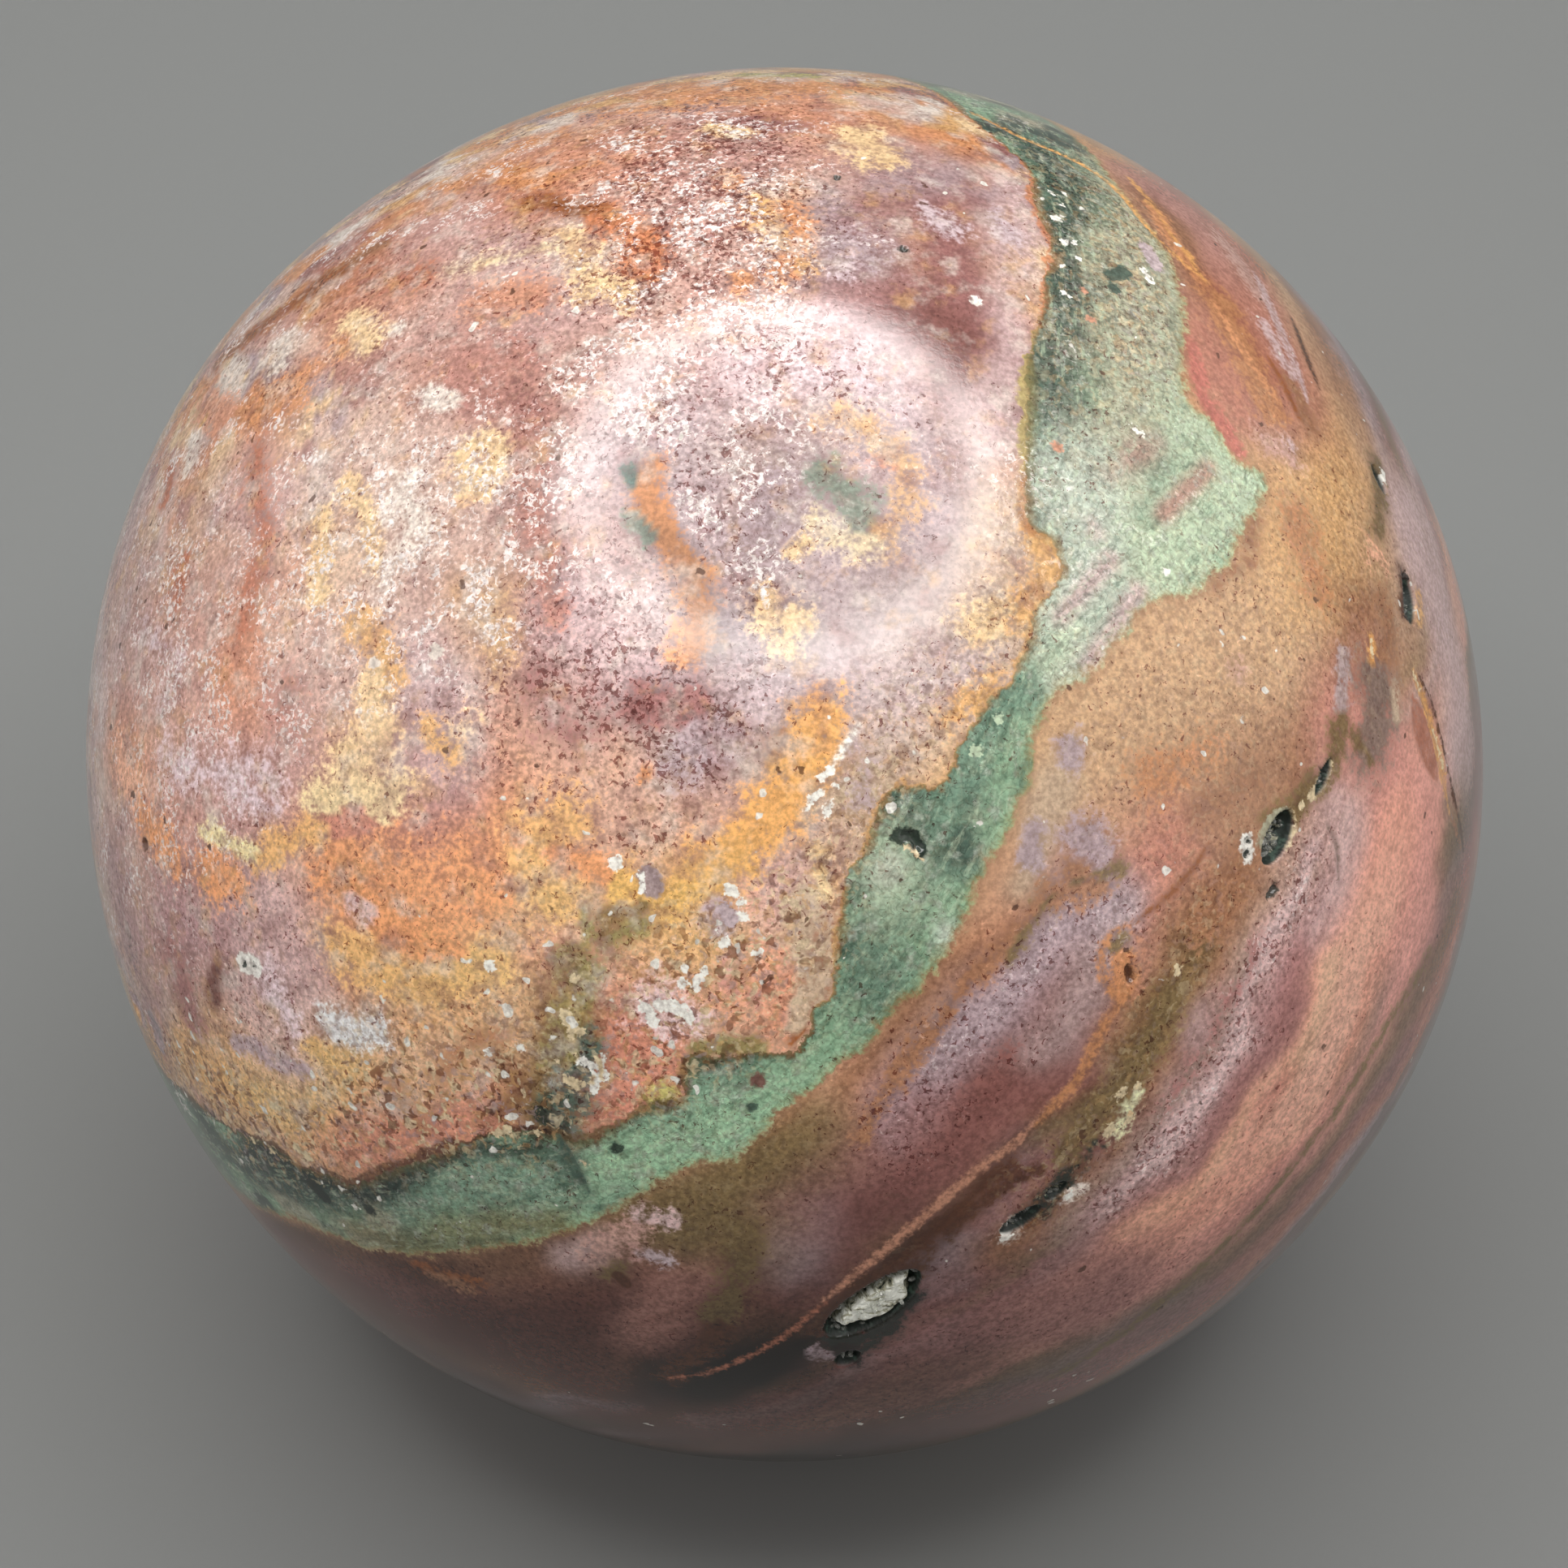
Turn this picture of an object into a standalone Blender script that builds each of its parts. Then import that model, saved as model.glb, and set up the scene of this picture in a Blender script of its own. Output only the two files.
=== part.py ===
"""Ocean jasper sphere: one polished ball of stone.

The ball stands on a small flat ground into its underside. A few shallow, quartz-lined vugs are open
at its skin, most of them strung along one healed crack. Units are metres, +Z is up, the origin is the
middle of the flat, and -Y is the side that shows the green ribbon.
"""

import math
from typing import NamedTuple

import bmesh
import bpy
from mathutils import Matrix, Vector

MM = 0.001

BALL_RADIUS = 40.0 * MM
BALL_SUBDIVISIONS = 5
BALL_MIDDLE_HEIGHT = math.sqrt(40.0**2 - 8.0**2) * MM

FOOT_RADIUS = math.sqrt(BALL_RADIUS**2 - BALL_MIDDLE_HEIGHT**2)

VUG_SUBDIVISIONS = 3
STONE_COLOUR = (0.36, 0.20, 0.15, 1.0)
STONE_ROUGHNESS = 0.1


class Swell(NamedTuple):
    """A broad place where hand polishing left the ball a little fuller than round."""

    azimuth: float  # degrees round the ball from -Y towards +X
    latitude: float  # degrees above its middle
    spread: float  # degrees out from the swell's top at which it has mostly died away
    rise: float  # how far the top stands out


class Vug(NamedTuple):
    """A hollow at the skin, cut as half of an ellipsoid."""

    name: str
    azimuth: float
    latitude: float
    turn: float  # degrees from level to the long way across, anticlockwise as seen from outside
    length: float
    width: float
    depth: float


SWELLS = (
    Swell(azimuth=-108.0, latitude=29.0, spread=24.0, rise=0.5 * MM),
    Swell(azimuth=75.0, latitude=-14.0, spread=20.0, rise=0.2 * MM),
)

VUGS = (
    Vug("green_quartz", 6.5, 2.6, 45.0, 6.6 * MM, 2.8 * MM, 1.8 * MM),
    Vug("below_quartz", 4.7, -4.0, 60.0, 1.8 * MM, 1.2 * MM, 0.8 * MM),
    Vug("olive_pit", 17.7, 9.1, 29.0, 2.6 * MM, 1.1 * MM, 0.8 * MM),
    Vug("olive_spot", 20.6, 11.0, 29.0, 1.5 * MM, 0.9 * MM, 0.7 * MM),
    Vug("black_quartz", 46.4, 30.2, 26.0, 3.2 * MM, 1.7 * MM, 1.2 * MM),
    Vug("slit", 53.8, 31.2, 20.0, 2.3 * MM, 0.7 * MM, 0.8 * MM),
    Vug("side_pocket", 77.2, 31.4, 26.0, 2.7 * MM, 1.5 * MM, 1.0 * MM),
    Vug("upper_pocket", 87.4, 36.9, 50.0, 1.8 * MM, 1.1 * MM, 0.8 * MM),
    Vug("back_pocket", 168.0, 12.0, -20.0, 4.0 * MM, 1.8 * MM, 1.3 * MM),
)


def outward(azimuth, latitude):
    """The unit direction from the ball's middle at an azimuth and a latitude in degrees."""
    a, b = math.radians(azimuth), math.radians(latitude)
    return Vector((math.sin(a) * math.cos(b), -math.cos(a) * math.cos(b), math.sin(b)))


def skin_radius(direction):
    """How far the polished skin is from the ball's middle in a unit direction."""
    radius = BALL_RADIUS
    for swell in SWELLS:
        away = math.degrees(direction.angle(outward(swell.azimuth, swell.latitude)))
        radius += swell.rise * math.exp(-((away / swell.spread) ** 2))
    return radius


def stone_material():
    """The dusty rose of the stone, polished."""
    material = bpy.data.materials.new("jasper")
    material.use_nodes = True
    shader = material.node_tree.nodes["Principled BSDF"]
    shader.inputs["Base Color"].default_value = STONE_COLOUR
    shader.inputs["Roughness"].default_value = STONE_ROUGHNESS
    shader.inputs["Metallic"].default_value = 0.0
    return material


def new_object(name, bm):
    """Turns a bmesh into an object in the scene."""
    mesh = bpy.data.meshes.new(name)
    bm.to_mesh(mesh)
    bm.free()
    thing = bpy.data.objects.new(name, mesh)
    bpy.context.scene.collection.objects.link(thing)
    return thing


def grind_foot(bm):
    """Grinds away what is below Z = 0 and closes the stone there with one flat face."""
    everything = bm.verts[:] + bm.edges[:] + bm.faces[:]
    bmesh.ops.bisect_plane(bm, geom=everything, plane_co=(0, 0, 0), plane_no=(0, 0, -1), clear_outer=True)
    rim = [edge for edge in bm.edges if edge.is_boundary]
    bmesh.ops.holes_fill(bm, edges=rim, sides=len(rim))


def make_ball():
    """The whole stone before its vugs are opened, standing on its flat."""
    bm = bmesh.new()
    bmesh.ops.create_icosphere(bm, subdivisions=BALL_SUBDIVISIONS, radius=1.0)
    middle = Vector((0, 0, BALL_MIDDLE_HEIGHT))
    for vert in bm.verts:
        direction = vert.co.normalized()
        vert.co = middle + direction * skin_radius(direction)
    grind_foot(bm)
    return new_object("jasper_sphere", bm)


def make_vug_cutter(vug):
    """An ellipsoid with its middle on the skin, which scoops out one vug."""
    out = outward(vug.azimuth, vug.latitude)
    level = Vector((0, 0, 1)).cross(out).normalized()
    uphill = out.cross(level)
    turn = math.radians(vug.turn)
    along = level * math.cos(turn) + uphill * math.sin(turn)
    across = out.cross(along)
    axes = Matrix((along, across, out)).transposed().to_4x4()
    half_sizes = Matrix.Diagonal((vug.length / 2, vug.width / 2, vug.depth, 1.0))
    place = Matrix.Translation(Vector((0, 0, BALL_MIDDLE_HEIGHT)) + out * skin_radius(out))
    bm = bmesh.new()
    bmesh.ops.create_icosphere(bm, subdivisions=VUG_SUBDIVISIONS, radius=1.0, matrix=place @ axes @ half_sizes)
    cutter = new_object("cutter_" + vug.name, bm)
    cutter.hide_render = True
    cutter.display_type = "WIRE"
    return cutter


def open_vug(stone, vug):
    """Takes one vug out of the stone."""
    modifier = stone.modifiers.new(vug.name, "BOOLEAN")
    modifier.operation = "DIFFERENCE"
    modifier.solver = "EXACT"
    modifier.object = make_vug_cutter(vug)


def main():
    """Builds the stone."""
    for thing in list(bpy.data.objects):
        bpy.data.objects.remove(thing)
    stone = make_ball()
    stone.data.materials.append(stone_material())
    stone.data.shade_smooth()
    stone.data.set_sharp_from_angle(angle=math.radians(30))
    for vug in VUGS:
        open_vug(stone, vug)


main()
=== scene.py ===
"""Ocean jasper sphere: the looks of one polished ball of stone.

The ball's skin is one closed mesh with its vugs, cracks and chips in relief. Its colours are laid on
in strokes, as a restorer would retouch a stone: soft washes for the clouds, ragged patches over them,
and crisp veins and spots on top. Each stroke is a short path read off the photograph and put on the
ball, or a bearing on the ball where the photograph doesn't show it. The finish adds the grain between.
Meshes are in metres. The recipes of the colours are in millimetres on the ball.
"""

import logging
import math
from dataclasses import dataclass
from enum import Enum

import bpy
import numpy as np
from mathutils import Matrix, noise


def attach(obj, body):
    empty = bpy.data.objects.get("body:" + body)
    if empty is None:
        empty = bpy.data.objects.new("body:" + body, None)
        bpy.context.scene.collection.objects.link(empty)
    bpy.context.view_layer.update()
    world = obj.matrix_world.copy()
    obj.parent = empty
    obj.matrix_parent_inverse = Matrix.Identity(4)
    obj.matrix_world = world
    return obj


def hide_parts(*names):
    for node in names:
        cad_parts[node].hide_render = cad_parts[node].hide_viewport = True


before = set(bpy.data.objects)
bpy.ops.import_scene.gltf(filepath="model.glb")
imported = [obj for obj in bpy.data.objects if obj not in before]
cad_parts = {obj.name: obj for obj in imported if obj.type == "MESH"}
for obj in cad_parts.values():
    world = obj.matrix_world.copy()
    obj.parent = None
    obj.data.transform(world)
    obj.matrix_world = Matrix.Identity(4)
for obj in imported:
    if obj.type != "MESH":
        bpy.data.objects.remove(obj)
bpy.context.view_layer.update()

LOG = logging.getLogger("ocean_jasper")
MM = 0.001


class Socket:
    """One output of a node, on which shader maths is written as Python expressions."""

    def __init__(self, graph: "Graph", source: bpy.types.NodeSocket) -> None:
        """Keeps the output and the graph that it belongs to."""
        self.graph = graph
        self.source = source

    def __add__(self, other: "Socket | float") -> "Socket":
        """Adds."""
        return self.graph.math("ADD", self, other)

    def __sub__(self, other: "Socket | float") -> "Socket":
        """Subtracts the other."""
        return self.graph.math("SUBTRACT", self, other)

    def __rsub__(self, other: float) -> "Socket":
        """Subtracts this from a number."""
        return self.graph.math("SUBTRACT", other, self)

    def __mul__(self, other: "Socket | float") -> "Socket":
        """Multiplies."""
        return self.graph.math("MULTIPLY", self, other)

    def __truediv__(self, other: "Socket | float") -> "Socket":
        """Divides by the other."""
        return self.graph.math("DIVIDE", self, other)

    __radd__ = __add__
    __rmul__ = __mul__


class Made:
    """A node that was made, whose outputs are read by name."""

    def __init__(self, graph: "Graph", node: bpy.types.Node) -> None:
        """Keeps the node."""
        self.graph = graph
        self.node = node

    def __getitem__(self, name: str) -> Socket:
        """Gives the output of that name or identifier."""
        return Socket(self.graph, pick_socket(self.node.outputs, name))


def pick_socket(sockets: bpy.types.bpy_prop_collection, name: str) -> bpy.types.NodeSocket:
    """Finds a socket.

    Args:
        sockets: the inputs or the outputs of a node.
        name: its identifier, or else its name.

    Returns:
        The socket.
    """
    for socket in sockets:
        if socket.identifier == name:
            return socket
    return sockets[name]


class Graph:
    """A node tree that is written as expressions."""

    def __init__(self, tree: bpy.types.NodeTree) -> None:
        """Keeps the tree."""
        self.tree = tree

    def node(self, kind: str, settings: dict | None = None, inputs: dict | None = None) -> Made:
        """Makes one node.

        Args:
            kind: the node's type, as Blender names it.
            settings: its properties, which are set before its sockets. "stops" are a ramp's stops.
            inputs: a value or a socket for each input that is set, by name or identifier.

        Returns:
            The node.
        """
        node = self.tree.nodes.new(kind)
        for name, value in (settings or {}).items():
            if name == "stops":
                self.set_stops(node.color_ramp, value)
            else:
                setattr(node, name, value)
        for name, value in (inputs or {}).items():
            target = pick_socket(node.inputs, name)
            if isinstance(value, Socket):
                self.tree.links.new(value.source, target)
            else:
                target.default_value = value
        return Made(self, node)

    @staticmethod
    def set_stops(ramp: bpy.types.ColorRamp, stops: list[tuple[float, tuple]]) -> None:
        """Gives a ramp its stops, each of which holds up to the next.

        Args:
            ramp: the ramp, with the two stops it comes with.
            stops: each stop's place from 0 to 1, and its colour.
        """
        ramp.interpolation = "CONSTANT"
        for place, _colour in stops[1:-1]:
            ramp.elements.new(place)
        for element, (place, colour) in zip(ramp.elements, stops):
            element.position = place
            element.color = (*colour[:3], 1.0)

    def math(self, operation: str, *values: "Socket | float") -> Socket:
        """Makes a Math node on one to three values."""
        names = ("Value", "Value_001", "Value_002")
        return self.node("ShaderNodeMath", {"operation": operation}, dict(zip(names, values)))["Value"]

    def vector(self, operation: str, *values: "Socket | tuple") -> Socket:
        """Makes a Vector Math node on one or two vectors."""
        names = ("Vector", "Vector_001")
        made = self.node("ShaderNodeVectorMath", {"operation": operation}, dict(zip(names, values)))
        return made["Vector"]

    def scaled(self, vector: Socket, factor: "Socket | float") -> Socket:
        """Multiplies a vector by one number."""
        made = self.node("ShaderNodeVectorMath", {"operation": "SCALE"}, {"Vector": vector, "Scale": factor})
        return made["Vector"]

    def mix(self, factor: "Socket | float", low: "Socket | tuple", high: "Socket | tuple",
            blend: str = "MIX") -> Socket:
        """Mixes two colours.

        Args:
            factor: how much of the second shows.
            low: the first colour.
            high: the second colour.
            blend: the way of mixing, as Blender names it.

        Returns:
            The mixed colour.
        """
        settings = {"data_type": "RGBA", "blend_type": blend, "clamp_factor": True}
        inputs = {"Factor_Float": factor, "A_Color": low, "B_Color": high}
        return self.node("ShaderNodeMix", settings, inputs)["Result_Color"]

    def rise(self, value: "Socket | float", start: "Socket | float", end: "Socket | float") -> Socket:
        """Turns a value into a smooth step.

        Args:
            value: what is compared.
            start: where the step is 0.
            end: where it is 1, which may be below start.

        Returns:
            A value from 0 to 1.
        """
        settings = {"interpolation_type": "SMOOTHSTEP", "clamp": True}
        inputs = {"Value": value, "From Min": start, "From Max": end}
        return self.node("ShaderNodeMapRange", settings, inputs)["Result"]

    def noise(self, place: Socket, scale: float, detail: float = 2.0, roughness: float = 0.5,
              distortion: float = 0.0) -> Made:
        """Makes cloudy noise.

        Args:
            place: where it is read.
            scale: how many features go to one unit of place.
            detail: how many finer layers it has.
            roughness: how strong those are.
            distortion: how much it is swirled.

        Returns:
            The node, whose Fac lies about 0.5.
        """
        inputs = {"Vector": place, "Scale": scale, "Detail": detail, "Roughness": roughness,
                  "Distortion": distortion}
        return self.node("ShaderNodeTexNoise", {"noise_dimensions": "3D"}, inputs)

    def cells(self, place: Socket, scale: float, feature: str = "F1", randomness: float = 1.0) -> Made:
        """Makes a pattern of cells, whose Distance is from the nearest cell's middle."""
        inputs = {"Vector": place, "Scale": scale, "Randomness": randomness}
        return self.node("ShaderNodeTexVoronoi", {"feature": feature}, inputs)

    def attribute(self, name: str) -> Made:
        """Reads an attribute of the mesh."""
        return self.node("ShaderNodeAttribute", {"attribute_name": name, "attribute_type": "GEOMETRY"})

    def split(self, colour: Socket) -> Made:
        """Takes a colour apart into Red, Green and Blue."""
        return self.node("ShaderNodeSeparateColor", {"mode": "RGB"}, {"Color": colour})


def new_material(name: str) -> tuple[bpy.types.Material, Graph, bpy.types.Node]:
    """Makes a material.

    Args:
        name: the finish that it gives.

    Returns:
        The material, its tree, and its Principled shader.
    """
    material = bpy.data.materials.new(name)
    material.use_nodes = True
    return material, Graph(material.node_tree), material.node_tree.nodes["Principled BSDF"]


def link_object(name: str, mesh: bpy.types.Mesh) -> bpy.types.Object:
    """Puts a mesh in the scene as an object at the origin."""
    thing = bpy.data.objects.new(name, mesh)
    bpy.context.scene.collection.objects.link(thing)
    return thing


@dataclass(frozen=True)
class PhotoView:
    """Where the photograph was taken from, and where the ball stands in it."""

    image_size: int = 1932
    ball_x: float = 967.0
    ball_y: float = 942.0
    ball_reach: float = 859.0  # pixels from the ball's middle to its outline
    elevation: float = 47.0  # degrees that the camera looks down by
    distance: float = 240.0 * MM  # from the lens to the ball's middle
    ball_radius: float = 40.0 * MM
    sensor: float = 36.0  # millimetres, as Blender counts a camera's sensor

    @property
    def spread(self) -> float:
        """The tangent of half the angle that the ball fills."""
        return math.tan(math.asin(self.ball_radius / self.distance))

    @property
    def lens(self) -> float:
        """The focal length in millimetres that gives the photograph's frame."""
        return self.sensor * self.ball_reach / (self.image_size * self.spread)

    @property
    def axes(self) -> tuple[np.ndarray, np.ndarray, np.ndarray]:
        """Right, up and back of the camera as unit vectors."""
        lean = math.radians(self.elevation)
        right = np.array([1.0, 0.0, 0.0])
        up = np.array([0.0, math.sin(lean), math.cos(lean)])
        back = np.array([0.0, -math.cos(lean), math.sin(lean)])
        return right, up, back

    def on_ball(self, pixels: np.ndarray) -> np.ndarray:
        """Finds which way from the ball's middle points of the photograph lie.

        Args:
            pixels: rows of x and y in the photograph's own pixels.

        Returns:
            One unit vector a row. A pixel past the outline gives the nearest point of the outline.
        """
        right, up, back = self.axes
        across = (pixels[:, 0] - self.ball_x) / self.ball_reach * self.spread
        upward = (self.ball_y - pixels[:, 1]) / self.ball_reach * self.spread
        ray = across[:, None] * right + upward[:, None] * up - back
        ray /= np.linalg.norm(ray, axis=1, keepdims=True)
        along = self.distance * (ray @ back)
        slack = np.maximum(along**2 - self.distance**2 + self.ball_radius**2, 0.0)
        hit = self.distance * back + (-along - np.sqrt(slack))[:, None] * ray
        return hit / np.linalg.norm(hit, axis=1, keepdims=True)


PHOTO = PhotoView()


def outward(azimuth: float, latitude: float) -> np.ndarray:
    """Gives a direction from the ball's middle.

    Args:
        azimuth: degrees round the ball from -Y towards +X.
        latitude: degrees above its middle.

    Returns:
        The unit vector.
    """
    around, upward = math.radians(azimuth), math.radians(latitude)
    return np.array([math.sin(around) * math.cos(upward), -math.cos(around) * math.cos(upward), math.sin(upward)])


class Pigment(Enum):
    """The stone's colours, each as red, green and blue from 0 to 255 in plain white light."""

    FROST = (216, 203, 192)
    QUARTZ_WHITE = (242, 239, 230)
    CREAM = (224, 204, 166)
    SHELL_PINK = (204, 174, 160)
    DUSTY_ROSE = (181, 140, 131)
    ROSE = (190, 150, 138)
    DUSTY_RED = (176, 126, 114)
    MAUVE = (164, 144, 142)
    LILAC_GREY = (165, 145, 148)
    LILAC_WHITE = (196, 176, 180)
    LAVENDER = (160, 139, 143)
    PURPLE = (160, 124, 124)
    MAROON_ROSE = (146, 100, 96)
    MAROON = (122, 78, 72)
    DARK_MAROON = (98, 58, 50)
    SALMON = (200, 143, 116)
    BRICK = (172, 108, 84)
    ORANGE = (202, 140, 96)
    VIVID_ORANGE = (192, 122, 84)
    AMBER = (220, 162, 96)
    YELLOW = (222, 190, 146)
    PALE_YELLOW = (216, 196, 162)
    OCHRE = (206, 160, 106)
    TAN = (193, 156, 120)
    SAND = (184, 162, 138)
    BROWN = (150, 106, 78)
    RUST = (142, 84, 46)
    CARAMEL = (178, 122, 82)
    DARK_BROWN = (84, 50, 34)
    BLACK_BROWN = (26, 17, 12)
    OLIVE = (126, 116, 74)
    OLIVE_YELLOW = (168, 160, 96)
    OLIVE_BROWN = (112, 92, 60)
    MINT = (186, 202, 172)
    PALE_MINT = (192, 200, 184)
    LEAF = (136, 166, 136)
    SAGE = (176, 173, 148)
    JADE = (112, 138, 118)
    TEAL = (96, 118, 110)
    GREY_GREEN = (122, 132, 118)
    DEEP_TEAL = (66, 84, 74)
    BOTTLE_BLACK = (30, 40, 34)
    CORAL = (216, 154, 134)
    PINK_CORAL = (208, 146, 134)
    PEACH = (220, 164, 136)
    SALMON_BROWN = (180, 120, 100)
    PINK_LILAC = (196, 168, 166)
    TAUPE = (122, 102, 92)
    RUBY = (188, 112, 98)
    NEAR_BLACK = (14, 8, 6)

    @property
    def linear(self) -> np.ndarray:
        """The colour as amounts of light."""
        share = np.array(self.value) / 255.0
        return np.where(share <= 0.04045, share / 12.92, ((share + 0.055) / 1.055) ** 2.4)

    @property
    def rgba(self) -> tuple[float, float, float, float]:
        """The colour as a socket takes it."""
        return (*(float(part) for part in self.linear), 1.0)


@dataclass(frozen=True)
class Stroke:
    """One mark of colour along a path on the ball."""

    pigment: Pigment
    reach: float  # millimetres from its path to its edge
    path: tuple[tuple[float, float], ...]  # x and y in the photograph, or degrees where it is hidden
    strength: float = 1.0
    hidden: bool = False
    tapers: bool = False

    def directions(self) -> np.ndarray:
        """Gives its path as unit directions, close together and rounded at its turns."""
        if self.hidden:
            return rounded(np.array([outward(*point) for point in self.path]))
        return rounded(PHOTO.on_ball(np.array(self.path, float)))


@dataclass(frozen=True)
class Grain:
    """How the stone's fine grain shows round a path on the ball."""

    reach: float
    path: tuple[tuple[float, float], ...]
    pepper: float = 0.0  # dark dots and commas
    frost: float = 0.0  # a white net between them
    coarse: float = 0.0  # coarse sandy grains
    hidden: bool = False

    directions = Stroke.directions


@dataclass(frozen=True)
class Amount:
    """How much there is of something round a path on the ball."""

    reach: float
    path: tuple[tuple[float, float], ...]
    amount: float
    hidden: bool = False

    directions = Stroke.directions


def paired(numbers: tuple[float, ...]) -> tuple[tuple[float, float], ...]:
    """Pairs up the x and the y of a path's points."""
    return tuple(zip(numbers[::2], numbers[1::2]))


def strokes(pigment: Pigment, *rows: tuple[float, ...]) -> tuple[Stroke, ...]:
    """Makes strokes of one pigment.

    Args:
        pigment: what they are laid on with.
        rows: for each its reach in millimetres, its strength, and the x and y of its path's points.

    Returns:
        The strokes.
    """
    return tuple(Stroke(pigment, row[0], paired(row[2:]), row[1]) for row in rows)


def inlays(pigment: Pigment, *rows: tuple[float, ...], tapers: bool = False) -> tuple[Stroke, ...]:
    """Makes crisp marks of one pigment.

    Args:
        pigment: what they are laid on with.
        rows: for each its reach in millimetres, and the x and y of its path's points.
        tapers: whether they run out thin at both ends.

    Returns:
        The strokes.
    """
    return tuple(Stroke(pigment, row[0], paired(row[1:]), tapers=tapers) for row in rows)


def grains(*rows: tuple[float, ...]) -> tuple[Grain, ...]:
    """Makes grains from rows of reach, pepper, frost, coarse, and the x and y of a path's points."""
    return tuple(Grain(row[0], paired(row[4:]), *row[1:4]) for row in rows)


def amounts(*rows: tuple[float, ...]) -> tuple[Amount, ...]:
    """Makes amounts from rows of reach, amount, and the x and y of a path's points."""
    return tuple(Amount(row[0], paired(row[2:]), row[1]) for row in rows)


def rounded(path: np.ndarray, step: float = 0.02) -> np.ndarray:
    """Rounds a path on the unit ball and gives it points that are close together.

    Args:
        path: unit directions.
        step: the longest piece that is wanted, on a ball of radius 1.

    Returns:
        Unit directions, of which the first and the last are the path's own.
    """
    if len(path) == 1:
        return path
    ends = np.vstack((2 * path[0] - path[1], path, 2 * path[-1] - path[-2]))
    pieces = []
    for before, start, end, after in zip(ends, ends[1:], ends[2:], ends[3:]):
        count = max(1, math.ceil(np.linalg.norm(end - start) / step))
        t = np.arange(count)[:, None] / count
        curve = 2 * start + (end - before) * t + (2 * before - 5 * start + 4 * end - after) * t**2
        pieces.append((curve + (3 * start - before - 3 * end + after) * t**3) / 2)
    curve = np.vstack((*pieces, path[-1:]))
    return curve / np.linalg.norm(curve, axis=1, keepdims=True)


def measure(points: np.ndarray, path: np.ndarray) -> tuple[np.ndarray, np.ndarray, np.ndarray]:
    """Measures how far points of the ball are from a path on it.

    Args:
        points: unit directions.
        path: unit directions, close together.

    Returns:
        The distance in millimetres, the side of the path as 1 or -1, and the share of the path that
        has passed at its nearest point.
    """
    radius = PHOTO.ball_radius / MM
    if len(path) == 1:
        return np.linalg.norm(points - path[0], axis=1) * radius, np.ones(len(points)), np.full(len(points), 0.5)
    nearest = np.full(len(points), np.inf)
    side = np.ones(len(points))
    passed = np.zeros(len(points))
    for index, (start, end) in enumerate(zip(path, path[1:])):
        run = end - start
        length = float(run @ run)
        if length == 0.0:
            continue
        share = np.clip((points - start) @ run / length, 0.0, 1.0)
        gap = np.linalg.norm(points - start - share[:, None] * run, axis=1)
        closer = gap < nearest
        nearest[closer] = gap[closer]
        side[closer] = np.sign(points[closer] @ np.cross(start, end) + 1e-12)
        passed[closer] = (index + share[closer]) / (len(path) - 1)
    return nearest * radius, side, passed


def near(points: np.ndarray, path: np.ndarray, reach: float) -> np.ndarray:
    """Picks the points that a stroke may touch.

    Args:
        points: unit directions.
        path: unit directions.
        reach: millimetres from the path past which nothing is touched.

    Returns:
        The numbers of the points.
    """
    middle = path.mean(axis=0)
    widest = np.linalg.norm(path - middle, axis=1).max() + reach * MM / PHOTO.ball_radius
    return np.flatnonzero(np.linalg.norm(points - middle, axis=1) < widest)


def wobble(points: np.ndarray, sizes: tuple[tuple[float, float], ...], seed: float) -> np.ndarray:
    """Shifts points about on the ball, so that what is laid on them gets a cloudy edge.

    Args:
        points: unit directions.
        sizes: pairs of the width of the clouds and how far they shift, in millimetres.
        seed: a number that makes it another shift.

    Returns:
        Unit directions.
    """
    radius = PHOTO.ball_radius / MM
    noise.seed_set(1)  # vector noise is offset by the clock where no seed is set
    shifted = points.copy()
    for width, shift in sizes:
        cloud = [noise.noise_vector(point) for point in (points * (radius / width) + seed).tolist()]
        shifted += np.array(cloud) * (shift / radius)
    return shifted / np.linalg.norm(shifted, axis=1, keepdims=True)


def clouds(points: np.ndarray, width: float, seed: float) -> np.ndarray:
    """Gives cloudy noise from about -1 to 1, with clouds of a width in millimetres."""
    scale = PHOTO.ball_radius / MM / width
    return np.array([noise.fractal(point, 0.7, 2.0, 3) for point in (points * scale + seed).tolist()])


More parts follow.
